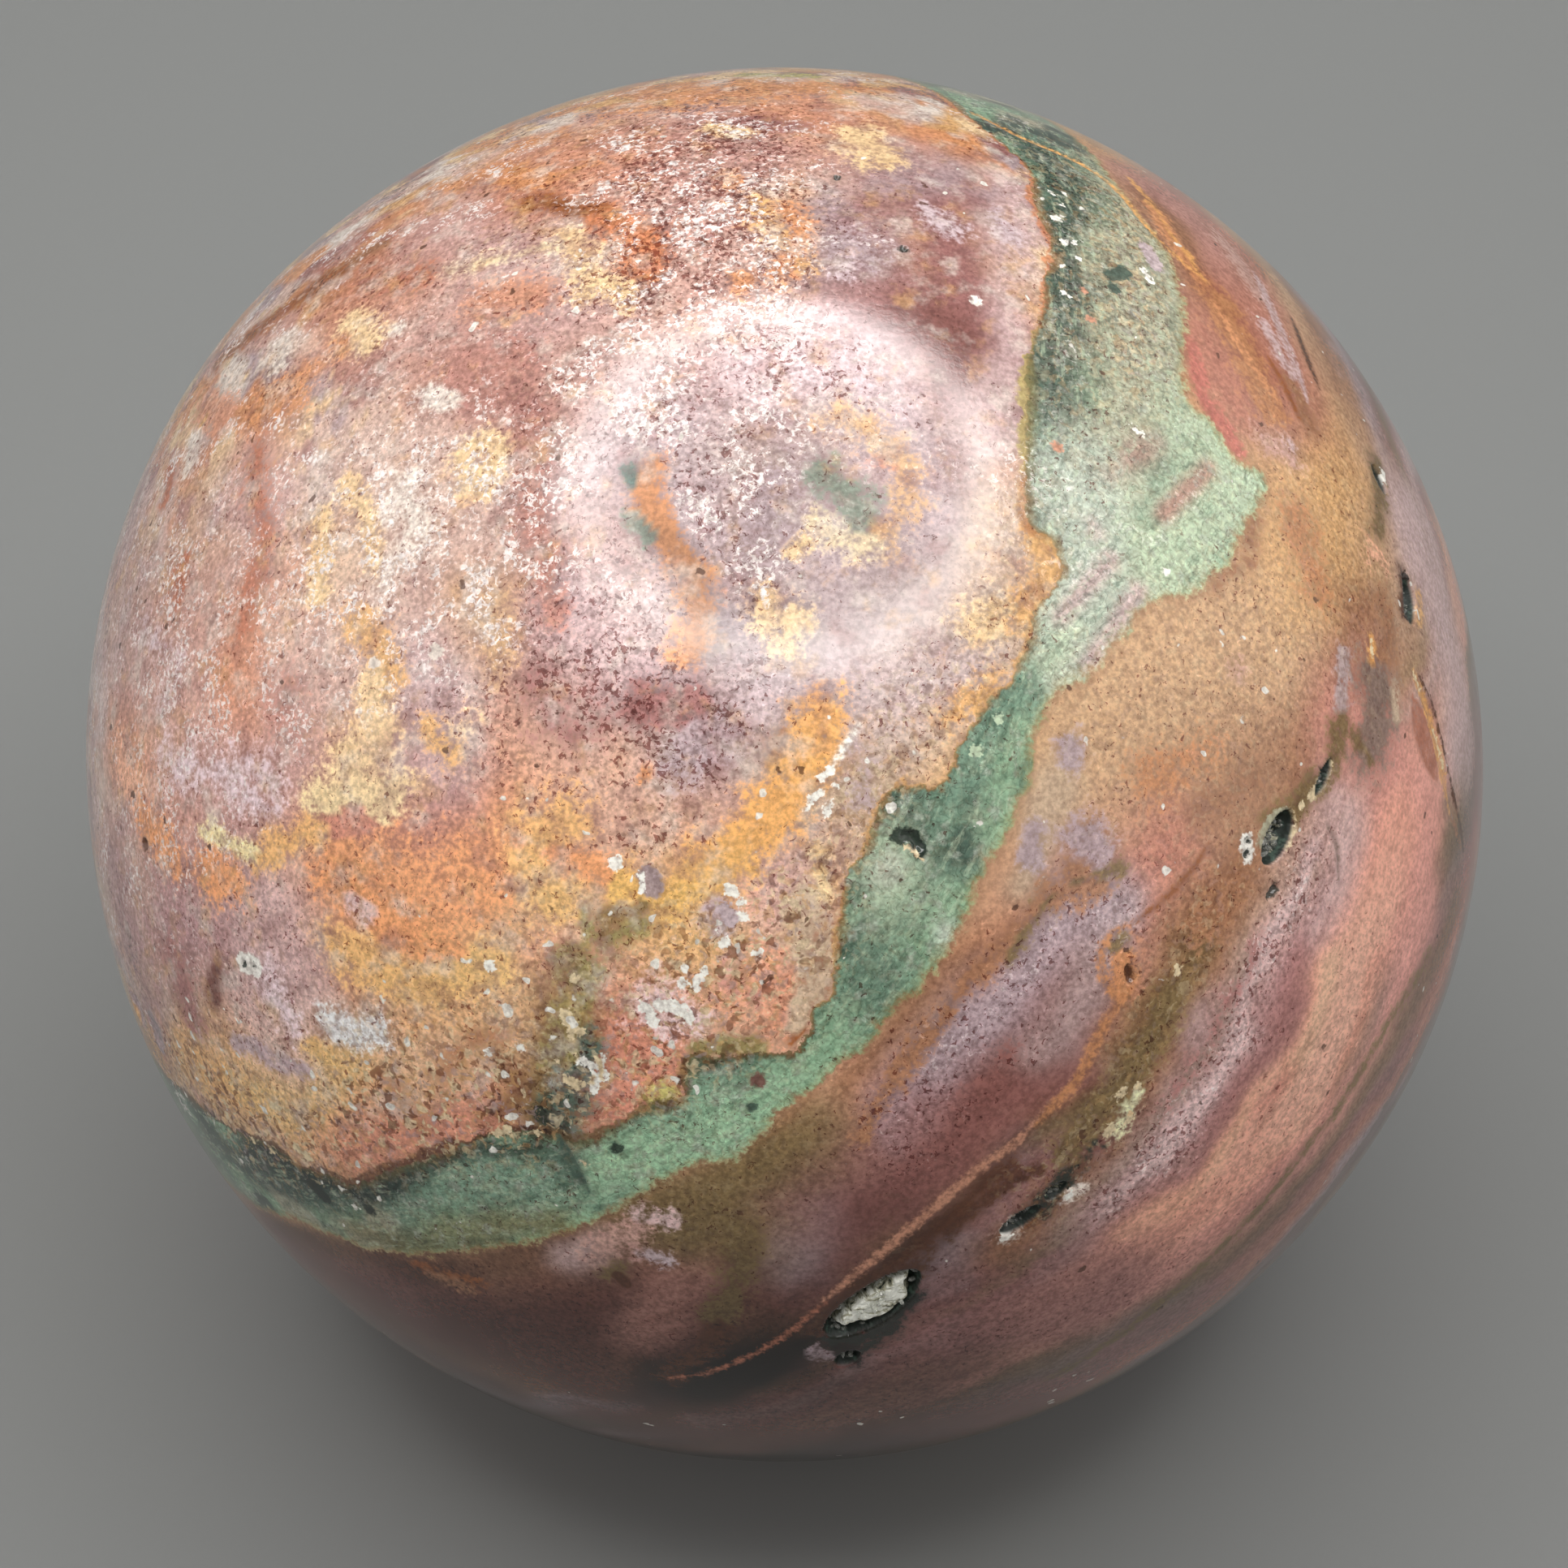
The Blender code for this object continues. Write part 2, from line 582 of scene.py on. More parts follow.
@dataclass(frozen=True)
class Studio:
    """A plain pale floor, a soft ring lamp hung overhead in a plain room, and the camera."""

    floor_half: float = 5.0
    floor_grey: float = 0.235
    ring_height: float = 0.3
    ring_radius: float = 0.134
    ring_softness: float = 0.022
    ring_inside: float = 0.07
    ring_outside: float = 0.19
    ring_strength: float = 8.0
    veil_angle: float = 31.0  # degrees from straight up, within which the room is a little brighter
    veil_strength: float = 0.6
    sky_strength: float = 0.3
    wall_strength: float = 0.05
    side_strength: float = 0.85  # two broad soft panels, left and right
    aim_height: float = math.sqrt(40.0**2 - 8.0**2) * MM

    def build_floor(self) -> bpy.types.Object:
        """Lays a level floor under the ball.

        Returns:
            The floor.
        """
        reach = self.floor_half
        mesh = bpy.data.meshes.new("floor")
        corners = [(-reach, -reach, 0.0), (reach, -reach, 0.0), (reach, reach, 0.0), (-reach, reach, 0.0)]
        mesh.from_pydata(corners, [], [(0, 1, 2, 3)])
        floor = link_object("floor", mesh)
        material, _graph, shader = new_material("pale_floor")
        shader.inputs["Base Color"].default_value = (self.floor_grey * 0.97, self.floor_grey, self.floor_grey * 0.99, 1.0)
        shader.inputs["Roughness"].default_value = 0.65
        mesh.materials.append(material)
        return floor

    def hang_lamp(self) -> bpy.types.Object:
        """Hangs a flat glowing ring over the ball, brightest along its middle.

        Returns:
            The ring, which isn't part of the object.
        """
        spokes = 96
        turn = np.arange(spokes) / spokes * 2.0 * math.pi
        circle = np.stack((np.cos(turn), np.sin(turn)), axis=-1)
        corners = np.vstack((circle * self.ring_inside, circle * self.ring_outside))
        places = np.column_stack((corners, np.full(len(corners), self.ring_height)))
        step = np.arange(spokes)
        after = (step + 1) % spokes
        mesh = bpy.data.meshes.new("ring_lamp")
        mesh.from_pydata(places, [], np.stack((step, after, spokes + after, spokes + step), axis=-1).tolist())
        lamp = link_object("ring_lamp", mesh)
        material, graph, shader = new_material("lamp_light")
        parts = graph.node("ShaderNodeSeparateXYZ", None, {"Vector": graph.node("ShaderNodeTexCoord")["Object"]})
        out = graph.math("SQRT", parts["X"] * parts["X"] + parts["Y"] * parts["Y"])
        away = (out - self.ring_radius) * (1.0 / self.ring_softness)
        veil = graph.rise(out, self.ring_radius + self.ring_softness, self.ring_radius - self.ring_softness)
        glow = graph.math("EXPONENT", away * away * -1.0) * self.ring_strength + veil * self.veil_strength
        light = graph.node("ShaderNodeEmission", None, {
            "Color": (1.0, 0.985, 0.965, 1.0), "Strength": glow + self.sky_strength})
        output = material.node_tree.nodes["Material Output"]
        graph.tree.links.new(light["Emission"].source, output.inputs["Surface"])
        material.node_tree.nodes.remove(shader)
        mesh.materials.append(material)
        return lamp

    def light_room(self) -> None:
        """Lights the scene softly from all round, and more from left and right."""
        world = bpy.data.worlds.new("studio")
        world.use_nodes = True
        bpy.context.scene.world = world
        graph = Graph(world.node_tree)
        direction = graph.node("ShaderNodeTexCoord")["Generated"]
        parts = graph.node("ShaderNodeSeparateXYZ", None, {"Vector": direction})
        height = parts["Z"]
        angle = graph.math("ARCCOSINE", height) * (180.0 / math.pi)
        veil = graph.rise(angle, self.veil_angle + 4.0, self.veil_angle - 4.0) * self.veil_strength
        room = self.wall_strength + graph.rise(angle, 100.0, 30.0) * (self.sky_strength - self.wall_strength)
        sideways = graph.math("ABSOLUTE", parts["X"])
        panels = graph.rise(sideways, 0.35, 0.95) * graph.rise(height, -0.05, 0.15) * self.side_strength
        strength = veil + room + panels
        background = world.node_tree.nodes["Background"]
        world.node_tree.links.new(strength.source, background.inputs["Strength"])
        background.inputs["Color"].default_value = (1.0, 0.985, 0.965, 1.0)

    def place_camera(self) -> None:
        """Puts the camera where the photograph was taken from."""
        camera = bpy.data.cameras.new("camera")
        camera.lens = PHOTO.lens
        camera.sensor_width = PHOTO.sensor
        camera.shift_x = (PHOTO.image_size / 2 - PHOTO.ball_x) / PHOTO.image_size
        camera.shift_y = (PHOTO.ball_y - PHOTO.image_size / 2) / PHOTO.image_size
        camera.clip_start = 0.01
        holder = bpy.data.objects.new("camera", camera)
        bpy.context.scene.collection.objects.link(holder)
        _right, _up, back = PHOTO.axes
        holder.location = back * PHOTO.distance + np.array([0.0, 0.0, self.aim_height])
        holder.rotation_euler = (math.radians(90.0 - PHOTO.elevation), 0.0, 0.0)
        bpy.context.scene.camera = holder

    def build(self) -> None:
        """Sets up floor, light and camera, and shows colours as they are."""
        self.build_floor()
        self.hang_lamp()
        self.light_room()
        self.place_camera()
        bpy.context.scene.view_settings.view_transform = "Standard"


@dataclass(frozen=True)
class Swell:
    """A broad place where hand polishing left the ball a little fuller than round."""

    azimuth: float
    latitude: float
    spread: float  # degrees out from its top at which it has mostly died away
    rise: float


@dataclass(frozen=True)
class Vug:
    """A hollow at the skin, of the size that the solid has."""

    name: str
    azimuth: float
    latitude: float
    turn: float  # degrees from level to the long way across, anticlockwise as seen from outside
    length: float
    width: float
    depth: float

    def axes(self) -> tuple[np.ndarray, np.ndarray, np.ndarray]:
        """Gives its long way, its short way and the way out, as unit vectors."""
        out = outward(self.azimuth, self.latitude)
        level = np.cross((0.0, 0.0, 1.0), out)
        level /= np.linalg.norm(level)
        uphill = np.cross(out, level)
        turn = math.radians(self.turn)
        along = level * math.cos(turn) + uphill * math.sin(turn)
        return along, np.cross(out, along), out

    def spot(self, skin: np.ndarray) -> np.ndarray:
        """Measures how far directions are from its middle.

        Args:
            skin: unit directions from the ball's middle.

        Returns:
            0 at its middle, 1 at its rim, and more outside it.
        """
        along, across, out = self.axes()
        radius = PHOTO.ball_radius
        far = np.hypot(skin @ along * radius / (self.length / 2), skin @ across * radius / (self.width / 2))
        return np.where(skin @ out > 0.0, far, 1e3)


SWELLS = (
    Swell(azimuth=-108.0, latitude=29.0, spread=24.0, rise=0.5 * MM),
    Swell(azimuth=75.0, latitude=-14.0, spread=20.0, rise=0.2 * MM),
)

VUGS = (
    Vug("green_quartz", 6.5, 2.6, 45.0, 6.6 * MM, 2.8 * MM, 1.8 * MM),
    Vug("below_quartz", 4.7, -4.0, 60.0, 1.8 * MM, 1.2 * MM, 0.8 * MM),
    Vug("olive_pit", 17.7, 9.1, 29.0, 2.6 * MM, 1.1 * MM, 0.8 * MM),
    Vug("olive_spot", 20.6, 11.0, 29.0, 1.5 * MM, 0.9 * MM, 0.7 * MM),
    Vug("black_quartz", 46.4, 30.2, 26.0, 3.2 * MM, 1.7 * MM, 1.2 * MM),
    Vug("slit", 53.8, 31.2, 20.0, 2.3 * MM, 0.7 * MM, 0.8 * MM),
    Vug("side_pocket", 77.2, 31.4, 26.0, 2.7 * MM, 1.5 * MM, 1.0 * MM),
    Vug("upper_pocket", 87.4, 36.9, 50.0, 1.8 * MM, 1.1 * MM, 0.8 * MM),
    Vug("back_pocket", 168.0, 12.0, -20.0, 4.0 * MM, 1.8 * MM, 1.3 * MM),
)


@dataclass(frozen=True)
class BallMesh:
    """The ball's skin as a fine mesh, finest where the photograph looks and round the vugs."""

    cells_a_side: int = 108
    squeeze: float = 1.6  # how much finer than even it is at the middle of the photograph
    vug_edge: float = 0.16 * MM
    mark_edge: float = 0.22 * MM
    vug_margin: float = 1.5  # how far past its rim a vug is finely divided, in its own sizes
    radius: float = 40.0 * MM
    middle_height: float = math.sqrt(40.0**2 - 8.0**2) * MM

    def even_ball(self) -> tuple[np.ndarray, np.ndarray]:
        """Makes a round of square cells, as a cube blown up.

        Returns:
            The unit directions of its points, and its triangles.
        """
        count = self.cells_a_side
        steps = np.arange(count + 1)
        first, second = np.meshgrid(steps, steps, indexing="ij")
        keys, quads = [], []
        weights = np.array([1, count + 1, (count + 1) ** 2])
        for axis in range(3):
            for side in (0, count):
                grid = np.empty((count + 1, count + 1, 3), int)
                grid[..., axis] = side
                grid[..., (axis + 1) % 3] = first
                grid[..., (axis + 2) % 3] = second
                key = grid @ weights
                quad = np.stack((key[:-1, :-1], key[1:, :-1], key[1:, 1:], key[:-1, 1:]), axis=-1).reshape(-1, 4)
                quads.append(quad if side else quad[:, ::-1])
                keys.append(key.reshape(-1))
        unique = np.unique(np.concatenate(keys))
        quads = np.searchsorted(unique, np.concatenate(quads))
        lattice = np.stack((unique, unique // weights[1], unique // weights[2]), axis=-1) % (count + 1)
        points = np.tan((lattice / count - 0.5) * (math.pi / 2))
        points /= np.linalg.norm(points, axis=1, keepdims=True)
        return points, np.concatenate((quads[:, [0, 1, 2]], quads[:, [0, 2, 3]]))

    def face_camera(self, points: np.ndarray) -> np.ndarray:
        """Turns one side of the blown-up cube to the camera and draws the points together there.

        Args:
            points: unit directions.

        Returns:
            Unit directions.
        """
        right, up, back = PHOTO.axes
        turned = points[:, :1] * right + points[:, 1:2] * up + points[:, 2:] * back
        facing = turned @ back
        flat = (turned - facing[:, None] * back) / (1.0 + facing + 1e-12)[:, None] / self.squeeze
        size = (flat**2).sum(axis=1, keepdims=True)
        drawn = (2.0 * flat + (1.0 - size) * back) / (1.0 + size)
        drawn[facing < -1.0 + 1e-9] = -back
        return drawn

    def wanted_edge(self, points: np.ndarray) -> np.ndarray:
        """Gives the longest edge that is wanted at each of some directions."""
        wanted = np.full(len(points), 1.0)
        for stroke in (*VEINS, *MARKS, *FLECKS, *GROOVES):
            path = stroke.directions()
            margin = stroke.reach + 0.2
            which = near(points, path, margin)
            distance, _side, _passed = measure(points[which], path)
            wanted[which[distance < margin]] = self.mark_edge
        for vug in VUGS:
            wanted[vug.spot(points) < self.vug_margin] = self.vug_edge
        return wanted

    def divide(self, points: np.ndarray, triangles: np.ndarray) -> tuple[np.ndarray, np.ndarray]:
        """Halves every edge that is longer than is wanted, and splits its triangles to suit.

        Args:
            points: unit directions.
            triangles: rows of three points.

        Returns:
            The points and the triangles after one round.
        """
        pairs = np.sort(triangles[:, [[0, 1], [1, 2], [2, 0]]].reshape(-1, 2), axis=1)
        edges, of_side = np.unique(pairs, axis=0, return_inverse=True)
        halfway = points[edges].sum(axis=1)
        halfway /= np.linalg.norm(halfway, axis=1, keepdims=True)
        length = np.linalg.norm(points[edges[:, 0]] - points[edges[:, 1]], axis=1) * self.radius
        halved = length > self.wanted_edge(halfway)
        fresh = np.full(len(edges), -1)
        fresh[halved] = len(points) + np.arange(halved.sum())
        sides = fresh[of_side.reshape(-1, 3)]
        # Each triangle is turned until its halved sides come first, so that few cases are left.
        cut = sides >= 0
        count = cut.sum(axis=1)
        turn = np.where(count == 1, cut.argmax(axis=1), np.where(count == 2, (cut.argmin(axis=1) + 1) % 3, 0))
        order = (turn[:, None] + np.arange(3)) % 3
        a, b, c = np.take_along_axis(triangles, order, axis=1).T
        ab, bc, ca = np.take_along_axis(sides, order, axis=1).T
        pieces = {
            0: ((a, b, c),),
            1: ((a, ab, c), (ab, b, c)),
            2: ((ab, b, bc), (a, ab, bc), (a, bc, c)),
            3: ((a, ab, ca), (ab, b, bc), (ca, bc, c), (ab, bc, ca)),
        }
        split = [np.stack(piece, axis=-1)[count == number] for number, set_ in pieces.items() for piece in set_]
        return np.concatenate((points, halfway[halved])), np.concatenate(split)

    def build(self) -> tuple[np.ndarray, np.ndarray]:
        """Makes the skin's points and triangles on a ball of radius 1.

        Returns:
            The unit directions of its points, and its triangles.
        """
        points, triangles = self.even_ball()
        points = self.face_camera(points)
        for _round in range(3):
            points, triangles = self.divide(points, triangles)
        return points, triangles

    def skin(self, points: np.ndarray) -> np.ndarray:
        """Gives the polished skin's distance from the ball's middle, before any hollow."""
        radius = np.full(len(points), self.radius)
        for swell in SWELLS:
            away = np.degrees(np.arccos(np.clip(points @ outward(swell.azimuth, swell.latitude), -1.0, 1.0)))
            radius += swell.rise * np.exp(-((away / swell.spread) ** 2))
        return radius

    def hollow(self, points: np.ndarray) -> np.ndarray:
        """Gives how deep the vugs are at some directions."""
        depth = np.zeros(len(points))
        for vug in VUGS:
            depth = np.maximum(depth, vug.depth * np.sqrt(np.clip(1.0 - vug.spot(points) ** 2, 0.0, 1.0)))
        return depth

    def grooves(self, points: np.ndarray) -> np.ndarray:
        """Gives how deep the cracks, chips and pits are at some directions."""
        depth = np.zeros(len(points))
        for groove in GROOVES:
            path = groove.directions()
            which = near(points, path, groove.reach)
            distance, _side, passed = measure(points[which], path)
            ends = np.clip(6.0 * passed * (1.0 - passed), 0.0, 1.0) if len(path) > 1 else 1.0
            cut = groove.amount * MM * ends * np.clip(1.0 - (distance / groove.reach) ** 2, 0.0, 1.0)
            depth[which] = np.maximum(depth[which], cut)
        return depth

    def places(self, points: np.ndarray) -> np.ndarray:
        """Puts the skin's points where they belong in the frame, standing on the flat foot."""
        radius = self.skin(points) - self.hollow(points) - self.grooves(points)
        down = np.maximum(-points[:, 2], 1e-9)
        radius = np.where(points[:, 2] < 0.0, np.minimum(radius, self.middle_height / down), radius)
        return points * radius[:, None] + np.array([0.0, 0.0, self.middle_height])


LAYER_NORMAL = np.array([0.64, -0.03, -0.77]) / np.linalg.norm([0.64, -0.03, -0.77])

# The green ribbon's two edges, from the top of the photograph down to the lower left.
RIBBON_UPPER_EDGE = (
    (1184, 138), (1222, 168), (1253, 195), (1271, 215), (1273, 246), (1283, 271), (1293, 302), (1296, 322),
    (1288, 343), (1286, 378), (1278, 401), (1271, 419), (1265, 463), (1263, 560), (1266, 640), (1300, 672),
    (1304, 715), (1278, 746), (1273, 769), (1263, 797), (1248, 838), (1217, 859), (1207, 884), (1181, 915),
    (1163, 963), (1132, 968), (1104, 968), (1081, 999), (1073, 1024), (1061, 1050), (1043, 1081), (1035, 1132),
    (1030, 1198), (1022, 1231), (999, 1244), (997, 1267), (984, 1295), (933, 1300), (857, 1303), (844, 1323),
    (841, 1355), (805, 1364), (779, 1377), (741, 1397), (708, 1405), (657, 1390), (606, 1397), (542, 1420),
    (478, 1443), (432, 1461), (406, 1448), (368, 1436), (342, 1415), (304, 1400), (279, 1387), (243, 1359),
    (207, 1328),
)
RIBBON_LOWER_EDGE = (
    (1340, 185), (1388, 243), (1439, 310), (1459, 373), (1459, 440), (1462, 491), (1490, 516), (1520, 562),
    (1562, 593), (1535, 650), (1518, 685), (1472, 733), (1416, 741), (1395, 772), (1350, 823), (1309, 851),
    (1288, 877), (1273, 920), (1271, 958), (1248, 1012), (1230, 1047), (1204, 1093), (1189, 1139),
    (1163, 1178), (1137, 1211), (1086, 1262), (1068, 1295), (1035, 1311), (1015, 1333), (971, 1364),
    (946, 1390), (908, 1428), (857, 1436), (806, 1461), (780, 1479), (746, 1499), (670, 1527), (606, 1538),
    (542, 1545), (460, 1540), (368, 1504), (322, 1490),
)

# Lines that the layers of the banded half follow, by which its streaks are bent.
LAYER_LINES = (
    ((1400, 240), (1470, 420), (1540, 600), (1440, 740), (1310, 860), (1245, 1060), (1150, 1210), (1000, 1370),
     (830, 1490), (600, 1540), (400, 1540)),
    ((1411, 1173), (1375, 1231), (1319, 1333), (1235, 1423), (1158, 1479), (1061, 1564), (920, 1671), (780, 1710)),
    ((1690, 516), (1733, 733), (1639, 877), (1562, 1055), (1464, 1186), (1350, 1313), (1235, 1525)),
    ((1613, 1030), (1572, 1160), (1529, 1282), (1473, 1377), (1330, 1560)),
    ((1740, 980), (1690, 1173), (1639, 1339), (1524, 1466), (1401, 1557), (1273, 1646)),
    ((1761, 1173), (1702, 1275), (1639, 1377), (1516, 1543), (1350, 1659), (1120, 1750)),
)

WASHES = (
    # The mottled half.
    *strokes(Pigment.ROSE, (9, 1, 230, 800, 300, 950)),
    *strokes(Pigment.SHELL_PINK, (6, 1, 520, 620, 600, 700, 500, 760)),
    *strokes(Pigment.PINK_LILAC, (6, 0.7, 150, 700, 125, 900, 130, 1080)),
    *strokes(Pigment.SHELL_PINK, (5, 1, 640, 760, 660, 600, 640, 450)),
    *strokes(Pigment.LILAC_GREY, (6, 0.85, 880, 560, 940, 640, 900, 740, 1000, 560)),
    *strokes(Pigment.LILAC_WHITE, (4, 0.8, 740, 620, 750, 740, 800, 490)),
    *strokes(Pigment.DUSTY_ROSE, (4, 0.8, 1140, 640, 1170, 600, 1190, 700)),
    *strokes(Pigment.ROSE, (4.5, 1, 860, 200, 860, 300, 880, 380)),
    *strokes(Pigment.DUSTY_ROSE, (4, 1, 760, 220, 800, 180, 930, 180)),
    *strokes(Pigment.MAUVE, (3, 1, 1020, 760, 1100, 735, 1140, 640, 1150, 570)),
    *strokes(Pigment.LILAC_GREY, (2.4, 1, 1045, 270, 1055, 330)),
    *strokes(Pigment.MAROON_ROSE, (3.4, 1, 1060, 395, 1130, 400, 1190, 430, 1230, 470),
             (2.6, 1, 1100, 195, 1140, 240, 1175, 300, 1180, 370)),
    *strokes(Pigment.MAROON, (1.6, 1, 1110, 410, 1160, 400, 1190, 450)),
    *strokes(Pigment.SALMON, (2.6, 1, 960, 140, 1030, 150, 1080, 175),
             (5, 1, 700, 200, 560, 290, 480, 350)),
    *strokes(Pigment.BRICK, (3, 0.7, 640, 255, 560, 300, 420, 340)),
    *strokes(Pigment.ROSE, (4, 1, 560, 400, 700, 400)),
    *strokes(Pigment.DUSTY_RED, (3, 1, 580, 460, 640, 500)),
    *strokes(Pigment.SALMON, (1.8, 1, 319, 555, 324, 670, 301, 772, 294, 860)),
    *strokes(Pigment.DUSTY_ROSE, (4, 1, 560, 860, 600, 800, 680, 700)),
    *strokes(Pigment.TAN, (2, 0.7, 593, 746, 600, 823)),
    *strokes(Pigment.ROSE, (4, 1, 660, 960, 700, 860, 760, 900)),
    *strokes(Pigment.MAROON_ROSE, (2.4, 0.9, 800, 875, 850, 880)),
    *strokes(Pigment.LILAC_GREY, (2.6, 1, 850, 930, 880, 960)),
    *strokes(Pigment.MAUVE, (2.6, 0.8, 920, 900, 960, 850)),
    *strokes(Pigment.SAND, (2.6, 1, 1270, 690, 1250, 780, 1200, 830),
             (3, 1, 1100, 900, 1050, 960, 1060, 1040)),
    *strokes(Pigment.CORAL, (5.5, 0.9, 880, 1150, 900, 1250, 780, 1330)),
    *strokes(Pigment.OCHRE, (4.6, 1, 700, 1050, 780, 1120, 640, 1130, 520, 1180)),
    *strokes(Pigment.ORANGE, (5.2, 1, 440, 1100, 540, 1090, 620, 1040)),
    *strokes(Pigment.SALMON_BROWN, (3.2, 1, 440, 1000, 540, 960)),
    *strokes(Pigment.DUSTY_ROSE, (3, 1, 350, 930, 280, 1000)),
    *strokes(Pigment.SALMON, (2.6, 1, 150, 900, 170, 960, 220, 1050)),
    *strokes(Pigment.PURPLE, (6, 1, 230, 1150, 290, 1220, 340, 1260), (3.4, 0.8, 150, 1100, 180, 1220)),
    *strokes(Pigment.TAN, (4.6, 0.95, 300, 1340, 450, 1370, 600, 1350, 640, 1260)),
    *strokes(Pigment.SALMON_BROWN, (2.2, 0.9, 430, 1425, 540, 1395, 630, 1370)),
    *strokes(Pigment.OCHRE, (2.4, 0.8, 240, 1300, 340, 1350, 420, 1310)),
    *strokes(Pigment.SALMON_BROWN, (3, 1, 760, 1250, 740, 1370)),
    *strokes(Pigment.OLIVE_BROWN, (1.8, 1, 705, 1170, 700, 1230, 690, 1300, 680, 1370)),
    # The banded half.
    *strokes(Pigment.TAN, (9, 1, 1450, 900, 1560, 800, 1640, 650)),
    *strokes(Pigment.OCHRE, (3.6, 0.75, 1600, 600, 1610, 700, 1640, 560)),
    *strokes(Pigment.DUSTY_RED, (4, 1, 1430, 240, 1500, 340, 1540, 450)),
    *strokes(Pigment.BROWN, (1.6, 1, 1421, 259, 1455, 310, 1485, 360, 1530, 450)),
    *strokes(Pigment.SALMON_BROWN, (3, 0.8, 1540, 380, 1600, 480)),
    *strokes(Pigment.TAN, (2, 0.5, 1500, 760, 1400, 860, 1320, 960)),
    *strokes(Pigment.BROWN, (4, 0.75, 1560, 960, 1500, 1080, 1450, 1140)),
    *strokes(Pigment.SALMON_BROWN, (3, 1, 1430, 1060, 1380, 1110)),
    *strokes(Pigment.BROWN, (2.4, 1, 1680, 760, 1670, 860, 1620, 950)),
    *strokes(Pigment.CARAMEL, (1.1, 0.9, 1266, 1118, 1240, 1150, 1195, 1190)),
    *strokes(Pigment.BROWN, (1, 0.9, 1190, 1190, 1110, 1270, 1040, 1340)),
    *strokes(Pigment.LAVENDER, (2.6, 1, 1345, 1130, 1290, 1200, 1215, 1290, 1165, 1345)),
    *strokes(Pigment.MAROON_ROSE, (2.6, 0.6, 1090, 1420, 1030, 1480)),
    *strokes(Pigment.MAROON, (2.8, 1, 1330, 1230, 1270, 1330, 1170, 1410, 1060, 1510, 980, 1580)),
    *strokes(Pigment.MAUVE, (1.4, 0.65, 1375, 1120, 1335, 1230, 1285, 1295)),
    *strokes(Pigment.DARK_BROWN, (1, 0.7, 1330, 1350, 1240, 1440, 1140, 1530, 1060, 1600)),
    *strokes(Pigment.BROWN, (1.6, 1, 1500, 1110, 1410, 1270, 1400, 1340, 1300, 1470, 1230, 1530)),
    *strokes(Pigment.OLIVE_BROWN, (3, 1, 960, 1430, 880, 1490, 810, 1500)),
    *strokes(Pigment.MAROON_ROSE, (1.7, 1, 1630, 1130, 1575, 1260, 1490, 1400, 1350, 1550, 1210, 1630)),
    *strokes(Pigment.PINK_LILAC, (2, 0.45, 1610, 1050, 1530, 1230, 1440, 1380, 1330, 1520),
             (0.6, 0.9, 1615, 1040, 1555, 1190, 1500, 1310, 1420, 1430)),
    *strokes(Pigment.PINK_CORAL, (3.8, 0.95, 1690, 930, 1740, 1000, 1720, 1100)),
    *strokes(Pigment.PINK_LILAC, (1.6, 0.7, 1640, 990, 1660, 1050, 1650, 1120),
             (3.2, 0.95, 1800, 900, 1790, 820, 1765, 720, 1740, 640)),
    *strokes(Pigment.CORAL,
             (2.2, 1, 1720, 1020, 1670, 1183, 1619, 1329, 1504, 1456, 1391, 1547, 1263, 1636)),
    *strokes(Pigment.PEACH, (0.8, 0.7, 1651, 1173, 1575, 1313, 1486, 1441, 1400, 1520)),
    *strokes(Pigment.PINK_CORAL, (1.8, 0.85, 1760, 1100, 1720, 1230, 1650, 1370, 1520, 1510, 1380, 1600)),
    *strokes(Pigment.MAROON_ROSE, (4, 0.85, 1340, 1600, 1200, 1650, 1130, 1640)),
    # Dark maroon at the ball's foot: dark stone, darkened further as painted shade.
    *strokes(Pigment.DARK_MAROON, (4, 0.8, 1000, 1720, 1120, 1720, 900, 1740)),
    *strokes(Pigment.TAUPE, (2.6, 0.85, 1800, 1150, 1720, 1380, 1580, 1560, 1400, 1690)),
    *strokes(Pigment.DARK_MAROON, (5, 1, 520, 1590, 640, 1640, 740, 1620), (3.4, 1, 820, 1640, 880, 1600)),
    *strokes(Pigment.DUSTY_RED, (1.7, 0.8, 860, 1570, 830, 1606, 790, 1640)),
    *strokes(Pigment.PINK_LILAC, (1.2, 0.8, 746, 1539, 720, 1545)),
    *strokes(Pigment.LAVENDER, (1.6, 0.7, 971, 1544, 1000, 1510)),
    *strokes(Pigment.BLACK_BROWN, (1.9, 1, 830, 1700, 900, 1680, 980, 1645)),
    *strokes(Pigment.DARK_BROWN, (1.4, 0.8, 980, 1645, 1060, 1590)),
    *strokes(Pigment.SALMON_BROWN, (2.4, 1, 1480, 420, 1520, 480)),
    *strokes(Pigment.BRICK, (1.3, 0.8, 1500, 360, 1530, 420, 1560, 470)),
    *strokes(Pigment.LAVENDER,
             (1.3, 0.9, 1365, 1105, 1320, 1140, 1285, 1180, 1210, 1260, 1150, 1320, 1090, 1390)),
    *strokes(Pigment.OLIVE_BROWN, (2.8, 0.95, 980, 1420, 930, 1480, 860, 1500)),
    # Black-brown and dark maroon along the ball's foot: dark stone with painted shade.
    *strokes(Pigment.BLACK_BROWN, (2.4, 0.95, 780, 1720, 860, 1705, 950, 1672)),
    *strokes(Pigment.DARK_MAROON, (3.5, 0.9, 800, 1765, 930, 1775, 1060, 1775),
             (3.2, 0.95, 540, 1620, 620, 1660, 700, 1690)),
    *strokes(Pigment.MAROON, (3, 0.7, 1160, 1755, 1280, 1725)),
    *strokes(Pigment.DARK_MAROON, (3, 0.9, 460, 1600, 560, 1650)),
    *strokes(Pigment.MAROON, (3, 0.95, 310, 1510, 400, 1560, 480, 1600)),
